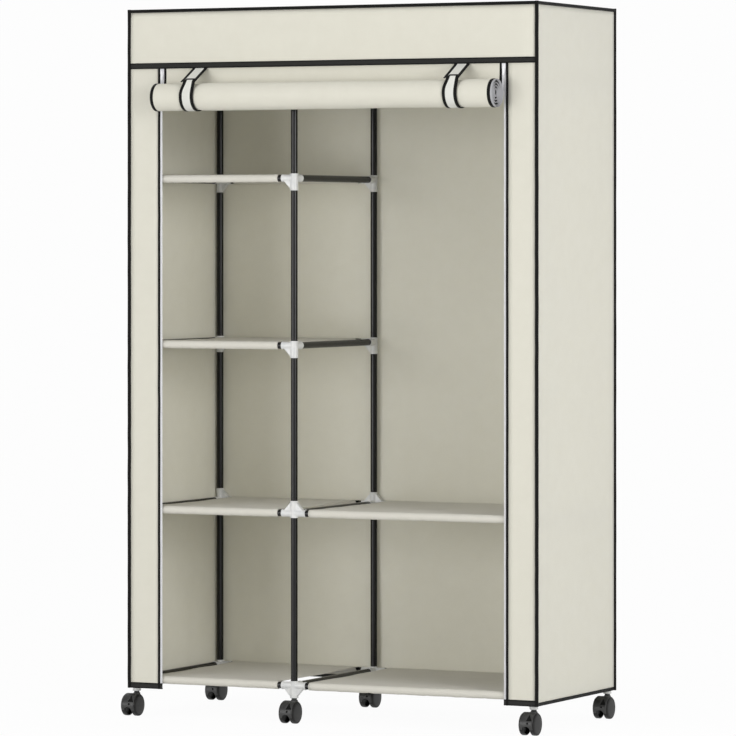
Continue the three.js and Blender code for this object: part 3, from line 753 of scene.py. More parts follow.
def panel(start, across, up, out, seed, depth, hem=70 * MM):
    """A plane moved along out by depth * ripple, eased to nothing at its four seams."""
    u, v, points = grid(start, across, up)
    wide, tall = u[-1, 0], v[-1]
    free = ease(np.minimum(u, wide - u) / min(hem, wide / 2)) * ease(np.minimum(v, tall - v) / hem)
    wave = ripple(u, v * 0.45, seed, PANEL_WAVE) * depth * free
    return points + wave[..., None] * np.array(out, float)


def add_panel(name, points, replaces, material=cover_cloth):
    """A cloth panel from a grid of points; its two mean lengths are worked out, and nothing uses them."""
    made = piece(name, [shell(points)], material, "cover_fabric", replaces=replaces, thickness=CLOTH)
    sizes = [float(np.linalg.norm(np.diff(points, axis=k), axis=2).sum(k).mean()) for k in (0, 1)]


def stand_off(x, drop):
    """How far the valance stands off the strips, for a place across it and below its top seam."""
    return VALANCE_OFF * ease(np.minimum(x - left_x, right_x - x) / VALANCE_END) * ease(drop / VALANCE_DROP)


tall = (0, 0, panel_high - panel_low)
deep, wide = (0, inner_back - inner_front, 0), (inner_right - inner_left, 0, 0)
for seed, side, start, end in ((41, "left", inner_left, piping_x["left"]),
                               (42, "right", piping_x["right"], inner_right)):
    points = panel((start, inner_front, panel_low), (end - start, 0, 0), tall, (0, -1, 0), seed, 0.5 * MM, 30 * MM)
    add_panel(f"front_strip_{side}", points, [f"side_panel_{side}"])
for seed, side, x, out in ((43, "left", inner_left, -1), (44, "right", inner_right, 1)):
    points = panel((x, inner_front, panel_low), deep, tall, (out, 0, 0), seed, 1.5 * MM)
    add_panel(f"side_cloth_{side}", points, [f"side_panel_{side}"], material=lit_cloth)
points = panel((inner_left, inner_back, panel_low), wide, tall, (0, 1, 0), 45, 2.0 * MM)
add_panel("back_cloth", points, ["back_panel"], material=lit_cloth)
points = panel((inner_left, inner_front, cover_top - SEAM_LAP), wide, deep, (0, 0, -1), 46, 1.2 * MM)
add_panel("top_cloth", points, ["top_panel"], material=lit_cloth)

u, v, points = grid((inner_left, inner_front, band_low + 3 * MM), wide, (0, 0, panel_high - band_low - 3 * MM))
wave = ripple(u, v * 0.3, 47, 0.5) * VALANCE_WAVE * ease((panel_high - points[..., Z]) / (60 * MM))
points[..., Y] -= stand_off(points[..., X], panel_high - points[..., Z]) + np.maximum(wave, -0.4 * MM)
add_panel("valance_cloth", points, ["top_panel"])
print("strip pipings at", piping_x["left"], piping_x["right"], "band", band_low, band_high)

# %% [markdown]
# ## Black edging
# The panels are joined by bound seams: black tape is folded over both raw edges and stitched, so a
# firm round ridge shows on every edge of the box. The valance ends in a wide band, and the hem in a
# narrower one. All are closed profiles carried along the seams. The bands have two raised ribs
# with a shallow channel between, and those that face forward have rolled edges as well.

# %% Bound seams, bands and their stitches
PIPING, STRIP_PIPING = (8.2 * MM, 8.2 * MM * 0.94), (6 * MM, 3.0 * MM)
PIPING_WANDER = 0.18 * MM
BAND_THICK = 3.0 * MM
BAND_EDGE = 3.4 * MM
BAND_SEAM = 3.2 * MM
BAND_STITCH_RISE = 0.5 * MM
FRONT_HEM, SIDE_HEM = 14 * MM, 8.5 * MM


def edging(name, shells, material):
    """A piece of the cover's edging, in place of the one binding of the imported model."""
    piece(name, shells, material, "edge_binding", replaces=["cover_binding"])


def band_profile(height):
    """A flat band, height along the hint and its thickness across, with round ends and two ribs."""
    v = np.linspace(-1, 1, 19)
    rib = 0.78 + 0.22 * np.exp(-((np.abs(v) - 0.62) / 0.2) ** 2)
    front = np.column_stack([v * height / 2, BAND_THICK / 2 * (1 - np.abs(v) ** 8) ** 0.5 * rib])
    return np.vstack([front, (front * [1, -1])[::-1][1:-1]])


def band_edges(path, height):
    """The two rolled edges of a band: flat ovals along it, a little thicker than the band."""
    away = height / 2 - BAND_EDGE / 2
    return [swept(oval(BAND_EDGE, BAND_THICK * 1.15, 10, 2.4), path + UP * side * away, UP) for side in (-1, 1)]


def piping(start, end, hint, seed, size=PIPING):
    """A bound seam: a squarish oval carried along a line that wanders by a fraction of a millimetre."""
    length = np.linalg.norm(np.subtract(end, start))
    steps = max(8, int(length / (12 * MM)))
    wander = ripple(np.linspace(0, 1, steps) * length, 0, seed, 0.09) * PIPING_WANDER
    path = line(start, end, steps) + wander[:, None] * np.array(hint, float)
    return swept(oval(*size, 12, 2.5), path, hint)


seams = []
for k, x in enumerate((left_x, right_x)):
    for j, y in enumerate((front_y, back_y)):
        seams.append(piping((x, y, hem_z), (x, y, cover_top + PIPING[0] / 2), (1, 0, 0), 60 + 2 * k + j))
    seams.append(piping((x, front_y, cover_top), (x, back_y, cover_top), (1, 0, 0), 70 + k))
for j, y in enumerate((front_y, back_y)):
    seams.append(piping((left_x, y, cover_top), (right_x, y, cover_top), (0, 1, 0), 80 + j))
edging("bound_seams", seams, black_piping)

hems, edges, rows = {"side": [], "front": [], "back": []}, [], []
for kind, start, end, steps, height in (
        ("side", (inner_left, front_y), (inner_left, back_y), 40, SIDE_HEM),
        ("side", (inner_right, front_y), (inner_right, back_y), 40, SIDE_HEM),
        ("back", (left_x, inner_back), (right_x, inner_back), 60, SIDE_HEM),
        ("front", (left_x, inner_front), (zip_x["left"], inner_front), 12, FRONT_HEM),
        ("front", (zip_x["right"], inner_front), (right_x, inner_front), 12, FRONT_HEM)):
    z = hem_z + height / 2
    path = line((*start, z), (*end, z), steps)
    hems[kind].append(swept(band_profile(height), path, UP))
    edges += band_edges(path, height) if kind == "front" else []
    _, side, _ = frames(path, UP)
    rows += [stitches(path + side * face * BAND_THICK * 0.41, UP, BAND_STITCH_RISE) for face in (-1, 1)]
edging("hem_bands", hems["front"] + hems["back"], black_tape)
edging("side_hems", hems["side"], black_piping)
edging("hem_stitches", rows, black_thread)

x = np.linspace(left_x, right_x, 90)
band_middle = (band_low + band_high) / 2
path = np.column_stack([x, inner_front - stand_off(x, cover_top - band_middle), np.full(len(x), band_middle)])
edging("valance_band", [swept(band_profile(band_high - band_low), path, UP)], black_tape)
edging("band_edges", edges + band_edges(path, band_high - band_low), black_piping)
rows = [stitches(path + [0, -BAND_THICK * 0.49, up * BAND_SEAM], (0, 1, 0), BAND_STITCH_RISE) for up in (-1, 1)]
edging("band_stitches", rows, black_thread)

inner = []
for k, side in enumerate(("left", "right")):
    place = (piping_x[side], front_y - 0.2 * MM)
    inner.append(piping((*place, hem_z), (*place, cover_top - 30 * MM), (1, 0, 0), 90 + k, STRIP_PIPING))
edging("strip_piping", inner, black_piping)
print("seams", len(seams), "hems", {kind: len(made) for kind, made in hems.items()})

# %% [markdown]
# ## Zips
# Each side of the door closes with a coil zip. Half of it is sewn to the strip: a pale tape whose
# edge carries the coil, here a row of small rounded teeth. The other half goes with the door. The
# slider is an open-sided shuttle with a flat pull; it rides on its own body, so it can travel.

# %% Zip halves and sliders
TAPE_THICK, TAPE_WIDTH = 0.6 * MM, 12.5 * MM
TOOTH_PITCH, TOOTH_HALF, TOOTH_RISE = 1.9 * MM, 0.62 * MM, 0.75 * MM
TOOTH_GAP = 1.0 * MM
SLIDER_FACE, SLIDER_REAR = front_y - 0.3 * MM, front_y + 1.5 * MM
SLIDER_PLATE, PLATE_ROUND = 1.7 * MM, 0.5 * MM
SLIDER_SHOULDER, SLIDER_NOSE = 11 * MM, 24 * MM
PULL_HOLE, PULL_HOLE_UP = 1.1 * MM, 3.2 * MM


def ribbon(x, path):
    """A sheet with a row at each (y, z) point of a path; x gives the places along a row."""
    points = np.zeros((len(path), x.shape[-1], 3))
    points[..., X], points[..., 1:] = x, path[:, None]
    return shell(points)


def teeth(x, path, out):
    """Zip teeth along a path of (y, z) points. out is their outward direction at each point."""
    along = distances(path)
    at = np.arange(TOOTH_PITCH, along[-1], TOOTH_PITCH)
    centre = np.column_stack([np.full(len(at), x), picked(path, along, at)])
    normal = np.column_stack([np.zeros(len(at)), picked(out, along, at)])
    stations = np.array([-1.5, -1.1, 1.1, 1.5]) * MM
    return lozenges(centre, ((1, 0, 0), np.cross(normal, (1, 0, 0)), normal), stations, 0.3, TOOTH_HALF, TOOTH_RISE, 6)


for side, sign in (("left", 1), ("right", -1)):
    z = np.linspace(hem_z + 1 * MM, cover_top - 34 * MM, 160)
    path = np.column_stack([np.full(len(z), inner_front), z])
    edge = zip_x[side] - sign * TOOTH_GAP
    tape = ribbon(np.linspace(edge - sign * TAPE_WIDTH, edge, 4), path)
    half_tape = piece(f"zip_tape_{side}", [tape], zip_tape, "zip_plastic", replaces=[f"side_panel_{side}"],
                      thickness=TAPE_THICK)
    coil = piece(f"zip_coil_{side}", [teeth(edge, path, np.tile([-1.0, 0.0], (len(z), 1)))], zip_white,
                 "zip_plastic", replaces=[f"side_panel_{side}"])
    float(z[-1] - z[0])


def slider_body(x, half, top, wall_side):
    """Two plates with a waisted outline, a wall that joins them at the strip's side, and over the
    front one a bridge that holds the pull."""
    shoulder, nose = top - SLIDER_SHOULDER, top - SLIDER_NOSE
    outline = np.array([(-half, top), (half, top), (half, shoulder), (half * 0.6, nose), (-half * 0.6, nose),
                        (-half, shoulder), (-half, top)])
    ring = picked(outline, np.arange(7), np.linspace(0, 6, 25))[:-1]
    centre = ring.mean(0)
    parts = []
    for front, back in ((SLIDER_FACE - SLIDER_PLATE, SLIDER_FACE), (SLIDER_REAR, SLIDER_REAR + SLIDER_PLATE)):
        rings = [upright(centre + (ring - centre) * share, y, x)
                 for y, share in ((front, 0.88), (front + PLATE_ROUND, 1.0), (back - PLATE_ROUND, 1.0), (back, 0.88))]
        parts.append(shell(rings, round_columns=True, caps=True))
    wall = (x + wall_side * (half - 0.9 * MM), (SLIDER_FACE + SLIDER_REAR) / 2)
    parts.append(swept(oval(1.4 * MM, SLIDER_REAR - SLIDER_FACE + 1.0 * MM, 8, 4),
                       line((*wall, top - 10 * MM), (*wall, top - 1 * MM), 6), (1, 0, 0)))
    foot, crown = SLIDER_FACE - SLIDER_PLATE * 0.6, SLIDER_FACE - SLIDER_PLATE
    bridge = np.array([(x, foot, top - 2 * MM), (x, crown - 0.9 * MM, top - 4 * MM),
                       (x, crown - 1.1 * MM, top - 8 * MM), (x, foot, shoulder)])
    parts.append(swept(oval(2.2 * MM, 0.9 * MM, 8), bridge, (1, 0, 0)))
    return parts


def slider_pull(x, top, bottom):
    """A flat tab with a hole. Rings of points go from its outline to the hole's circle in front,
    through the hole and back to the outline behind, so they close into one skin."""
    half = np.array([1.3, 1.7, 2.2, 2.5, 2.5, 2.3, 1.6]) * MM
    z = np.array([0, 0.1, 0.35, 0.62, 0.82, 0.95, 1.0]) * (bottom - top) + top
    outer = np.vstack([np.column_stack([half, z]), np.column_stack([-half, z])[::-1]])
    hole_z = bottom + PULL_HOLE_UP
    angle = np.arctan2(outer[:, 1] - hole_z, outer[:, 0])
    outer, angle = outer[np.argsort(angle)], np.sort(angle)
    hole = np.column_stack([PULL_HOLE * np.cos(angle), hole_z + PULL_HOLE * np.sin(angle)])
    front, back = (SLIDER_FACE - SLIDER_PLATE - out for out in (1.6 * MM, 0.5 * MM))
    rings = ((outer, front + 0.2 * MM), (outer * 0.95 + hole * 0.05, front), (hole, front), (hole, back), (outer, back))
    return shell([upright(ring, y, x) for ring, y in rings], round_rows=True, round_columns=True)


for side, wall_side in (("left", -1), ("right", 1)):
    node = f"zip_slider_{side}"
    x, bottom, top = middle(node)[X], low(node)[Z], high(node)[Z]
    parts = slider_body(x, (high(node) - low(node))[X] / 2, top, wall_side)
    parts.append(slider_pull(x, top - 5 * MM, bottom + 0.2 * MM))
    piece(f"slider_{side}", parts, zip_white, "zip_plastic", body=node, replaces=[node])

# %% [markdown]
# ## The rolled door
# The door is one sheet. Its head hangs behind the valance, leaves the strips' plane and winds
# round itself nearly twelve times. The path in the side view is a short tail and a spiral, and the
# sheet is that path at many places across, with its edges easing out from the tail to the roll. The
# same slow wave bends every turn, so the turns never cross, and the roll is pinched at each strap.

# %% Door path and sheet
ROLL_RADIUS = 33.5 * MM
ROLL_PITCH = 2.3 * MM
ROLL_TURNS = 11.7
ROLL_UNEVEN = 0.28 * MM
STRAP_PINCH, PINCH_HALF, PINCH_EASE = 1.8 * MM, 16 * MM, 9 * MM
NEAR_STRAP = np.array([-45, -34, -26, -21, -16, 0, 16, 21, 26, 34, 45]) * MM
DOOR_WAVE_SPAN = 0.26
TAIL_BLEND = 55 * MM
roll_place = low("rolled_door")[1:] + ROLL_RADIUS - np.array([1.2, 0.6]) * MM
edge_in_tail = {"left": zip_x["left"] + 8.4 * MM, "right": zip_x["right"] - 7.9 * MM}
edge_in_roll = {"left": low("rolled_door")[X] + 1.0 * MM, "right": high("rolled_door")[X] - 1.0 * MM}
strap_x = [middle(f"strap_{side}")[X] - 2.2 * MM for side in ("left", "right")]


def round_roll(radius, angle):
    """(y, z) points round the roll's middle; angle 0 is the rear."""
    return roll_place + np.column_stack([radius * np.cos(angle), radius * np.sin(angle)])


def door_path(step_out=0.0):
    """(y, z) points and outward normals: down the tail, then round the spiral. The radius is
    R - pitch * turn, a little tighter and looser in turn. step_out moves the path outwards."""
    roll_y, roll_z = roll_place
    z = np.linspace(high("rolled_door")[Z], roll_z + TAIL_BLEND, 10)[:-1]
    blend = np.linspace(0, 1, 16)
    outer = ROLL_RADIUS - CLOTH / 2
    down = np.column_stack([inner_front + (roll_y + outer - inner_front) * ease(blend) ** 1.3,
                            roll_z + TAIL_BLEND * (1 - blend)])
    angle = np.linspace(0, -TAU * ROLL_TURNS, int(ROLL_TURNS * 40))[1:]
    turns = -angle / TAU
    uneven = ROLL_UNEVEN * np.sin(TAU * turns / 2.9) * np.minimum(turns, ROLL_TURNS - turns)
    spiral = round_roll(outer - ROLL_PITCH * turns - np.clip(uneven, -ROLL_UNEVEN, ROLL_UNEVEN), angle)
    path = np.vstack([np.column_stack([np.full(len(z), inner_front), z]), down, spiral])
    step = unit(np.gradient(path, axis=0))
    normal = np.column_stack([step[:, 1], -step[:, 0]])
    share = np.r_[np.zeros(len(z)), ease(blend), np.ones(len(angle))]
    return path + normal * step_out, normal, share, np.r_[np.zeros(len(z) + len(blend)), turns]


def door_wave(x, share, turn_angle):
    """How far the door's turns shift inwards: slow waves, and a pinch under each strap."""
    slow = ripple(x, 0.10 * np.cos(turn_angle), 51, DOOR_WAVE_SPAN) * 0.5 * MM
    pinch = sum(np.exp(-(np.maximum(np.abs(x - at) - PINCH_HALF, 0) / PINCH_EASE) ** 2) for at in strap_x)
    return (slow + pinch * STRAP_PINCH) * share


path, normal, share, turns = door_path()
turn_angle = np.arctan2(*(path - roll_place).T[::-1])
tucked = ease((turns - 1.5) / 0.5) * (0.5 + 0.5 * np.cos(TAU * turns / 3.0))
recess = (2.2 * tucked + 2.0 * (turns / ROLL_TURNS) ** 0.6) * MM
edges = {side: edge_in_tail[side] + (edge_in_roll[side] - edge_in_tail[side]) * share - sign * recess
         for side, sign in (("left", -1), ("right", 1))}
close = np.concatenate([at + NEAR_STRAP for at in strap_x])
even = np.linspace(edge_in_tail["left"], edge_in_tail["right"], 27)
even = even[np.min(np.abs(even[:, None] - close), axis=1) > 9 * MM]
across = np.sort(np.r_[even, close, even[0] + 6 * MM, even[-1] - 6 * MM])
across = (across - across[0]) / (across[-1] - across[0])
x = edges["left"][:, None] + (edges["right"] - edges["left"])[:, None] * across
wave = door_wave(x, share[:, None], turn_angle[:, None])
points = np.concatenate([x[..., None], path[:, None] + wave[..., None] * normal[:, None]], -1)
door = piece("door_cloth", [shell(points)], cover_cloth, "cover_fabric", replaces=["rolled_door"], thickness=CLOTH)
door_length = float(distances(path)[-1])

# %% [markdown]
# ## The door's edges
# Black edging runs down both sides of the door, so it shows as two upright lines in the tail and as
# a ring at each end of the roll. Outside it, the door's half of the zip shows at the right end as a
# pale rim, and its wound edge makes the rings of the roll's end face: every third turn is tucked in.
# The tape of the inner turns is greyed by painted shade.

# %% Door edging and zip
bead = oval(8.8 * MM, 2.3 * MM, 10, 2.6)
BEAD_INSET = {"left": 1.8 * MM, "right": 1.1 * MM}
beads = []
for side, sign in (("left", -1), ("right", 1)):
    bend = door_wave(edges[side], share, turn_angle)[:, None] * normal
    bead_path = np.column_stack([edges[side] - sign * BEAD_INSET[side] * share, path + bend])
    beads.append(swept(bead, bead_path, (1, 0, 0), scale=0.76 + 0.24 * share))
    in_tail = np.abs(zip_x[side] - edge_in_tail[side]) - TOOTH_GAP
    in_roll = (7.3 - 4.6 * tucked) * MM if side == "right" else 2.0 * MM
    outer_edge = edges[side] + sign * (in_tail + (in_roll - in_tail) * share)
    tape = ribbon(outer_edge[:, None] - sign * TAPE_WIDTH * np.linspace(0, 1, 4), path + bend)
    # The tape's colour darkens along the roll: painted shade on the wound turns.
    made = piece(f"door_zip_tape_{side}", [tape], wound_tape_painted_shade, "zip_plastic", replaces=["rolled_door"],
                 thickness=TAPE_THICK)
door_edging = piece("door_edging", beads, black_piping, "edge_binding", replaces=["rolled_door"])

tail = share < 0.35
for side, sign in (("left", -1), ("right", 1)):
    coil = teeth(zip_x[side] - sign * TOOTH_GAP, path[tail], np.abs(normal[tail]) * [-1, 0])
    piece(f"door_zip_coil_{side}", [coil], zip_white, "zip_plastic", replaces=["rolled_door"])

# %% [markdown]
# ## Straps
# Two straps hold the roll: pale webbing with black binding on both edges. One comes down as a flap
# from under the valance and reaches out over the roll. The other hangs behind the door, comes up
# round the roll and ends in a tab on top of the flap. The tab's bound end makes a dark cross line,
# and its left corner is cut.

# %% Straps
STRAP_WIDTH = (high("strap_left") - low("strap_left"))[X]
STRAP_EDGE, EDGE_THICK, EDGE_OUT = 9.0 * MM, 2.0 * MM, 0.8 * MM
WEB_THICK, STRAP_STEP = 1.2 * MM, 3 * MM
SHOULDER = roll_place + np.array([-23.5, 35.5]) * MM
TAB_LONG, TAB_OVER = 38 * MM, 5 * MM
TAB_CUT = {-1: 8.5 * MM, 1: -1.5 * MM}
FLAP_ASIDE, FLAP_WIDER, FLAP_OVER = 0.9 * MM, 1.1 * MM, 2 * MM
LAYER = 1.9 * MM


def smooth_path(points):
    """Even points along a path of straight runs, with the corners rounded by a moving mean."""
    along = distances(points)
    even = picked(points, along, np.linspace(0, along[-1], max(8, int(along[-1] / STRAP_STEP))))
    padded = np.vstack([even[:1], even, even[-1:]])
    return np.vstack([even[:1], (padded[:-2] + padded[1:-1] * 2 + padded[2:])[1:-1] / 4, even[-1:]])


def strap_layers(name, centre_x, path, wider=0.0, tab=False):
    """Webbing between two bound edges along a (y, z) path, as one white and one black piece. A
    tab's first end is bound too, and each of its edges moves in by its cut."""
    path = smooth_path(path)
    along = distances(path)
    half = STRAP_WIDTH / 2 + EDGE_OUT + wider - STRAP_EDGE / 2
    cut = ease(1 - along / TAB_LONG) ** 1.2 if tab else 0 * along
    places = [np.column_stack([centre_x + s * (half - TAB_CUT[s] * cut), path]) for s in (-1, 1)]
    left, right = (place[:, :1] for place in places)
    web = ribbon(left + (right - left) * np.linspace(0, 1, 8), path)
    node = f"strap_{name.split('_')[1]}"
    white = piece(f"{name}_webbing", [web], strap_cloth, "strap_webbing", replaces=[node], thickness=WEB_THICK)
    edge = oval(STRAP_EDGE, EDGE_THICK, 10, 2.6)
    bound = [swept(edge, place, (1, 0, 0)) for place in places]
    if tab:
        cross = line(places[0][0], places[1][0], 8)
        bound.append(swept(edge * [0.8, 1.2], cross, np.r_[0, path[4] - path[0]]))
    black = piece(f"{name}_binding", bound, black_piping, "strap_webbing", replaces=[node])
    length = float(along[-1])
    return length


strap_front = front_y - 1.6 * MM
hold = ROLL_RADIUS - STRAP_PINCH + LAYER
flap_start = np.array([strap_front, band_low - 1 * MM])
slope = (SHOULDER - flap_start) / np.hypot(*(SHOULDER - flap_start))
bend = SHOULDER + np.array([slope[1], -slope[0]]) * 2.1 * MM
bend_away = bend - roll_place
leave = math.atan2(bend_away[1], bend_away[0]) + math.acos(hold / np.hypot(*bend_away))
behind, _, bent, _ = door_path(-LAYER)
behind = behind[bent < 1][::-1]
flap = np.vstack([[strap_front, band_high], flap_start, SHOULDER + slope * FLAP_OVER])
wrap = np.vstack([bend - slope * TAB_OVER, bend, round_roll(hold, np.linspace(leave, math.radians(352), 60)), behind])
for side, centre_x in zip(("left", "right"), strap_x):
    length = strap_layers(f"strap_{side}_flap", centre_x + FLAP_ASIDE, flap, FLAP_WIDER)
    print("strap", side, "flap", length, "wrap", strap_layers(f"strap_{side}_wrap", centre_x, wrap, tab=True))

# %% [markdown]
# ## Casters
# A twin-wheel caster has a thin hood over two wheels that share an axle. Its side view is an arc
# round the axle. The hood is that arc at many places across, with its sides rolled in, an arch cut
# by raising the lower edge, and a small arrow and hole pressed into the front. A black sheet just
# above the bottom of each is painted shade that darkens them. A round boss behind the axle carries
# the neck. The wheels are turned forms, hollow towards the middle.

# %% Caster shapes
WHEEL_RADIUS = 25.5 * MM
HOOD_RADIUS, HOOD_THICK, HOOD_HALF = 27.8 * MM, 1.5 * MM, 16.6 * MM
HOOD_EDGE, HOOD_REAR = 14.5 * MM, 22 * MM
HOOD_CORNER, HOOD_ROLL = 4.6 * MM, 3.2 * MM
HOOD_STEPS = (14, 112, 30)
TRAIL = 20 * MM
ARCH_RISE, ARCH_HALF = 8.0 * MM, 9.4 * MM
ARROW_LOW, ARROW_HIGH, ARROW_HALF = 35.2 * MM, 49.8 * MM, 7.6 * MM
ARROW_X, ARROW_LEAN = 5.4 * MM, 2.2 * MM
HOLE_PLACE, HOLE_RADIUS = (4.2 * MM, 29.6 * MM), 2.3 * MM
DENT, DENT_SOFT = 1.2 * MM, 0.9 * MM
CASTER_TOP = WHEEL_RADIUS + HOOD_RADIUS
BOSS = 8.5 * MM
AXLE_PLACE = (0, -TRAIL, WHEEL_RADIUS)


def hood_line():
    """(y, z) along the hood's outer side: an arc round the axle from the front edge, over the top
    and down to the rear edge, finer round the dent. The stem stands at y = 0."""
    marks = [math.asin((HOOD_EDGE - WHEEL_RADIUS) / HOOD_RADIUS), math.radians(-6), math.radians(64),
             math.pi - math.asin((HOOD_REAR - WHEEL_RADIUS) / HOOD_RADIUS)]
    t = [np.linspace(a, b, n, endpoint=False) for a, b, n in zip(marks, marks[1:], HOOD_STEPS)]
    t = np.r_[np.concatenate(t), marks[-1]]
    return np.column_stack([-TRAIL - HOOD_RADIUS * np.cos(t), WHEEL_RADIUS + HOOD_RADIUS * np.sin(t)])


def dent_depth(x, z):
    """How far the front sinks in: a triangle with its point up, and a round peep hole."""
    share = np.clip((ARROW_HIGH - z) / (ARROW_HIGH - ARROW_LOW), 0, 1)
    away = np.abs(x - ARROW_X - share * ARROW_LEAN)
    arrow = (ease((share * ARROW_HALF - away) / DENT_SOFT + 0.5) * ease((z - ARROW_LOW) / DENT_SOFT + 0.5)
             * ease((ARROW_HIGH - z) / DENT_SOFT))
    hole = ease((HOLE_RADIUS - np.hypot(x - HOLE_PLACE[0], z - HOLE_PLACE[1])) / (0.8 * MM) + 0.5)
    return np.maximum(arrow, hole) * DENT


def hood_shape():
    """Point = line - normal * depth. depth grows towards the sides, in the dent and in the hole."""
    outline = hood_line()
    step = unit(np.gradient(outline, axis=0))
    normal = np.column_stack([-step[:, 1], step[:, 0]])
    side = HOOD_HALF - HOOD_CORNER
    rounded = side + HOOD_CORNER * np.sin(np.linspace(0, math.pi / 2, 10))
    x = np.r_[-rounded[::-1], np.linspace(-side, side, 66)[1:-1], rounded]
    inside = np.clip((np.abs(x) - (HOOD_HALF - HOOD_ROLL)) / HOOD_ROLL, 0, 1)
    depth = HOOD_ROLL * (1 - np.sqrt(1 - inside ** 2 * 0.92)) * 0.8
    depth = depth + dent_depth(x, outline[:, 1:]) * (outline[:, :1] < -TRAIL)
    arch = HOOD_EDGE + ARCH_RISE * np.sqrt(np.clip(1 - (x / ARCH_HALF) ** 2, 0, None))
    along = np.linspace(0, 1, len(outline))
    rising = slice(0, len(outline) // 3)
    start = np.interp(arch, outline[rising, 1], along[rising])
    place = along[:, None] + start * np.clip(1 - along / along[HOOD_STEPS[0]], 0, 1)[:, None]
    yz = [np.interp(place, along, outline[:, k]) - np.interp(place, along, normal[:, k]) * depth for k in (0, 1)]
    return shell(np.stack([x + 0 * depth, *yz], -1))


def dent_shade_sheet(centre, half, z):
    """A black sheet just above a dent's bottom, from centre - half to centre + half: painted shade that darkens the
    dent.
    """
    x = np.transpose(centre + half * np.linspace(-1, 1, 7)[:, None])
    y = -TRAIL - np.sqrt((HOOD_RADIUS - DENT + 0.25 * MM) ** 2 - (z - WHEEL_RADIUS) ** 2)
    return shell(np.stack([x, y[:, None] + 0 * x, z[:, None] + 0 * x], -1))


def caster_core():
    """The web between the wheels, with the boss, the neck and the stem."""
    t = np.linspace(math.radians(-20), math.radians(200), 60)
    reach = (HOOD_RADIUS - HOOD_THICK) * (1 - 0.65 * ease((t - math.radians(140)) / math.radians(35)))
    ring = np.column_stack([0 * t, reach * np.cos(t), reach * np.sin(t)])
    web = shell([AXLE_PLACE + ring * share + [x, 0, 0]
                 for x, share in ((-3.0 * MM, 0.97), (-2.4 * MM, 1.0), (2.4 * MM, 1.0), (3.0 * MM, 0.97))],
                round_columns=True, caps=True)
    top, neck, pin = CASTER_TOP, 6.3 * MM, 4.0 * MM
    stem = turned([(AXIS_POINT, 40 * MM), (BOSS, 40 * MM), (BOSS, top - 1.6 * MM), (BOSS - 0.6 * MM, top - 0.4 * MM),
                   (BOSS - 1.6 * MM, top), (neck, top + 0.6 * MM), (neck, top + 3.4 * MM),
                   (neck - 0.4 * MM, top + 4.0 * MM), (pin, top + 4.0 * MM), (pin, top + 25 * MM),
                   (pin - 0.8 * MM, top + 26 * MM), (AXIS_POINT, top + 26 * MM)], Z, (0, 0, 0), 32, closed=False)
    return [web, stem]


def wheel_shape(side):
    """A turned wheel, hollow towards the hood: hub, cavity, rounded tread, rim groove and a flat disc."""
    profile = np.array([(3.1, 4.6), (6, 4.6), (6.5, 15.5), (21.0, 15.5), (22.6, 9.0), (23.2, 8.0), (24.8, 8.1),
                        (25.3, 8.8), (25.5, 10.0), (25.5, 16.4), (25.3, 17.6), (24.8, 18.4), (23.8, 18.8),
                        (23.0, 18.8), (22.7, 18.1), (22.4, 18.1), (22.1, 18.7), (21.0, 19.0), (16, 19.2), (8, 19.4),
                        (0.05, 19.45), (0.05, 18.6), (3.1, 18.6)]) * MM
    return turned(profile * [1, side], X, AXLE_PLACE, 56)


axle = [(0.01, -18.2), (2.4, -18.2), (3.0, -17.6), (3.0, 17.6), (2.4, 18.2), (0.01, 18.2)]
axle = turned(np.array(axle) * MM, X, AXLE_PLACE, 24, closed=False)
hood, core = hood_shape(), caster_core()
# Black sheets in the arrow's dent and in the peep hole: painted shade.
z = np.linspace(ARROW_LOW - 0.2 * MM, ARROW_HIGH - 0.8 * MM, 14)
down = (ARROW_HIGH - z) / (ARROW_HIGH - ARROW_LOW)
disc = np.linspace(-0.48 * math.pi, 0.48 * math.pi, 12)
dent_shade_sheets = [dent_shade_sheet(ARROW_X + down * ARROW_LEAN, down * ARROW_HALF, z),
          dent_shade_sheet(HOLE_PLACE[0], HOLE_RADIUS * np.cos(disc), HOLE_PLACE[1] + HOLE_RADIUS * np.sin(disc))]
wheels = [wheel_shape(-1), wheel_shape(1), axle]
for row in ROWS:
    for column in COLUMNS:
        housing, rolling = f"caster_{row}_{column}", f"caster_wheels_{row}_{column}"
        for kind, parts, look, slot, body, plain in (
                ("hood", [hood], caster_black, "caster_plastic", housing, {"thickness": HOOD_THICK, "offset": 1}),
                # The dent pieces are black sheets: painted shade in the arrow and the hole.
                ("dent", dent_shade_sheets, black_piping, "caster_plastic", housing, {"thickness": 0.3 * MM}),
                ("stem", core, caster_black, "caster_plastic", housing, {}),
                ("wheels", wheels, wheel_black, "wheel_plastic", rolling, {})):
            piece(f"{kind}_{row}_{column}", [moved(part, at_post(row, column)) for part in parts], look, slot,
                  body=body, replaces=[body], **plain)
print("hood faces", len(hood["quads"]), "pieces", len(made_pieces))

# %% [markdown]
# ## Floor and light
# The object stands on a pale floor that runs up into a pale wall. A large soft lamp stands low in
# front, a weaker one above and a third on the right, in an even white surround. The camera sees
# the floor and surround almost white, as in a catalogue picture, and the floor keeps soft shadows.
# The wall is clear from behind, so a view of the wardrobe's back looks through it.

# %% Floor, world and lamps
FLOOR_HALF = 16.0
WALL_START, WALL_RISE, BEND = 6.0, 9.0, 3.0
WHITE_SHARE = 0.96
SURROUND = 0.55
TARGET = (0, 0, 0.9)

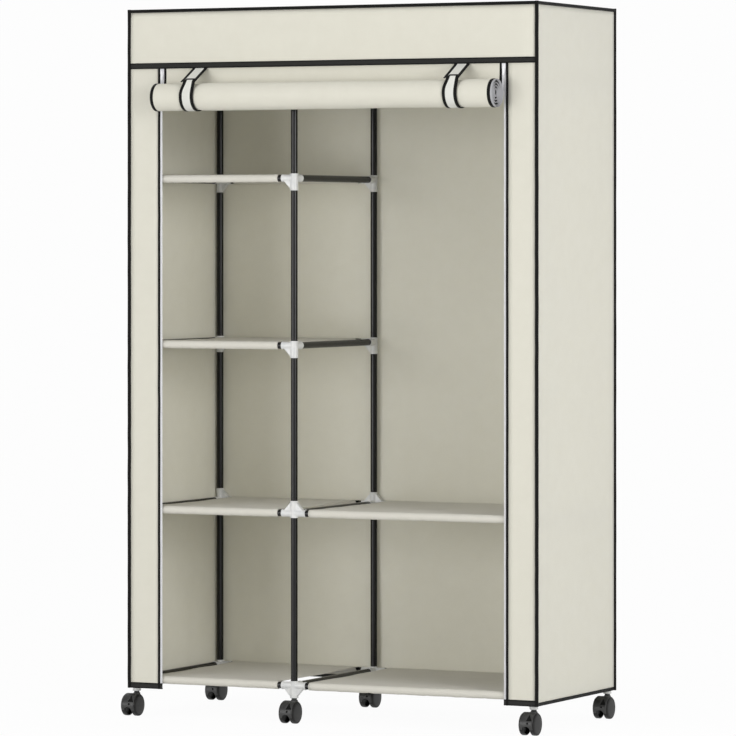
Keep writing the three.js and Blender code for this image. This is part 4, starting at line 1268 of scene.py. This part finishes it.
t = np.linspace(0, math.pi / 2, 16)[1:]
sweep_line = np.vstack([[(-FLOOR_HALF, 0), (WALL_START, 0)],
                        np.column_stack([WALL_START + BEND * np.sin(t), BEND * (1 - np.cos(t))]),
                        [(WALL_START + BEND, WALL_RISE)]])
across_axis = np.array([math.cos(CAMERA_AZIMUTH), math.sin(CAMERA_AZIMUTH), 0])
ahead_axis = np.cross(UP, across_axis)
backdrop = np.stack([sweep_line[:, :1] * ahead_axis + side * FLOOR_HALF * across_axis + sweep_line[:, 1:] * UP
                     for side in (1, -1)], 1)

grain = start_material("pale_floor").noise(3.0, 2.0)
pale = paint("pale_floor", Base_Color=grain.mix((0.86, 0.86, 0.86, 1), (0.9, 0.9, 0.9, 1)), Roughness=0.9,
             Specular_IOR_Level=0.1)
tree = pale.node_tree
rays = tree.nodes.new("ShaderNodeLightPath")
from_camera, glossy, through = (Shade(tree, rays.outputs[f"Is {kind} Ray"])
                                for kind in ("Camera", "Glossy", "Transmission"))
seen = from_camera + glossy + through
glow = seen.node("Emission", Color=(1, 1, 1, 1), Strength=1.0)
surface, output = (next(n for n in tree.nodes if n.type == kind) for kind in ("BSDF_PRINCIPLED", "OUTPUT_MATERIAL"))
both = seen.node("MixShader", _0=seen * WHITE_SHARE, _1=Shade(tree, surface.outputs[0]), _2=glow)
behind = seen.node("NewGeometry", out="Backfacing")
both = seen.node("MixShader", _0=behind * from_camera, _1=both, _2=seen.node("BsdfTransparent"))
feed(tree, output.inputs["Surface"], both)
floor_mesh = mesh_of("floor", [shell(backdrop)])
floor_mesh.shade_smooth()
floor_mesh.materials.append(pale)
add("floor", floor_mesh)

world = bpy.data.worlds.new("surround")
bpy.context.scene.world = world
world.use_nodes = True
world.node_tree.nodes["Background"].inputs["Color"].default_value = (1.0, 1.0, 1.0, 1)
world.node_tree.nodes["Background"].inputs["Strength"].default_value = SURROUND

LAMPS = {"key": ((-2.4, -6.0, 1.05), 2.7, 121), "overhead": ((-0.6, -2.2, 5.6), 2.0, 20),
         "fill": ((5.2, -2.6, 1.8), 2.2, 120)}
for name, (place, size, power) in LAMPS.items():
    lamp = add(name, bpy.data.lights.new(name, "AREA"))
    lamp.data.size, lamp.data.energy = size, power
    ahead = np.subtract(TARGET, place)
    lamp.location = place
    lamp.rotation_euler = (math.atan2(np.hypot(ahead[X], ahead[Y]), -ahead[Z]), 0, math.atan2(-ahead[X], ahead[Y]))
bpy.context.scene.view_settings.view_transform = "Standard"
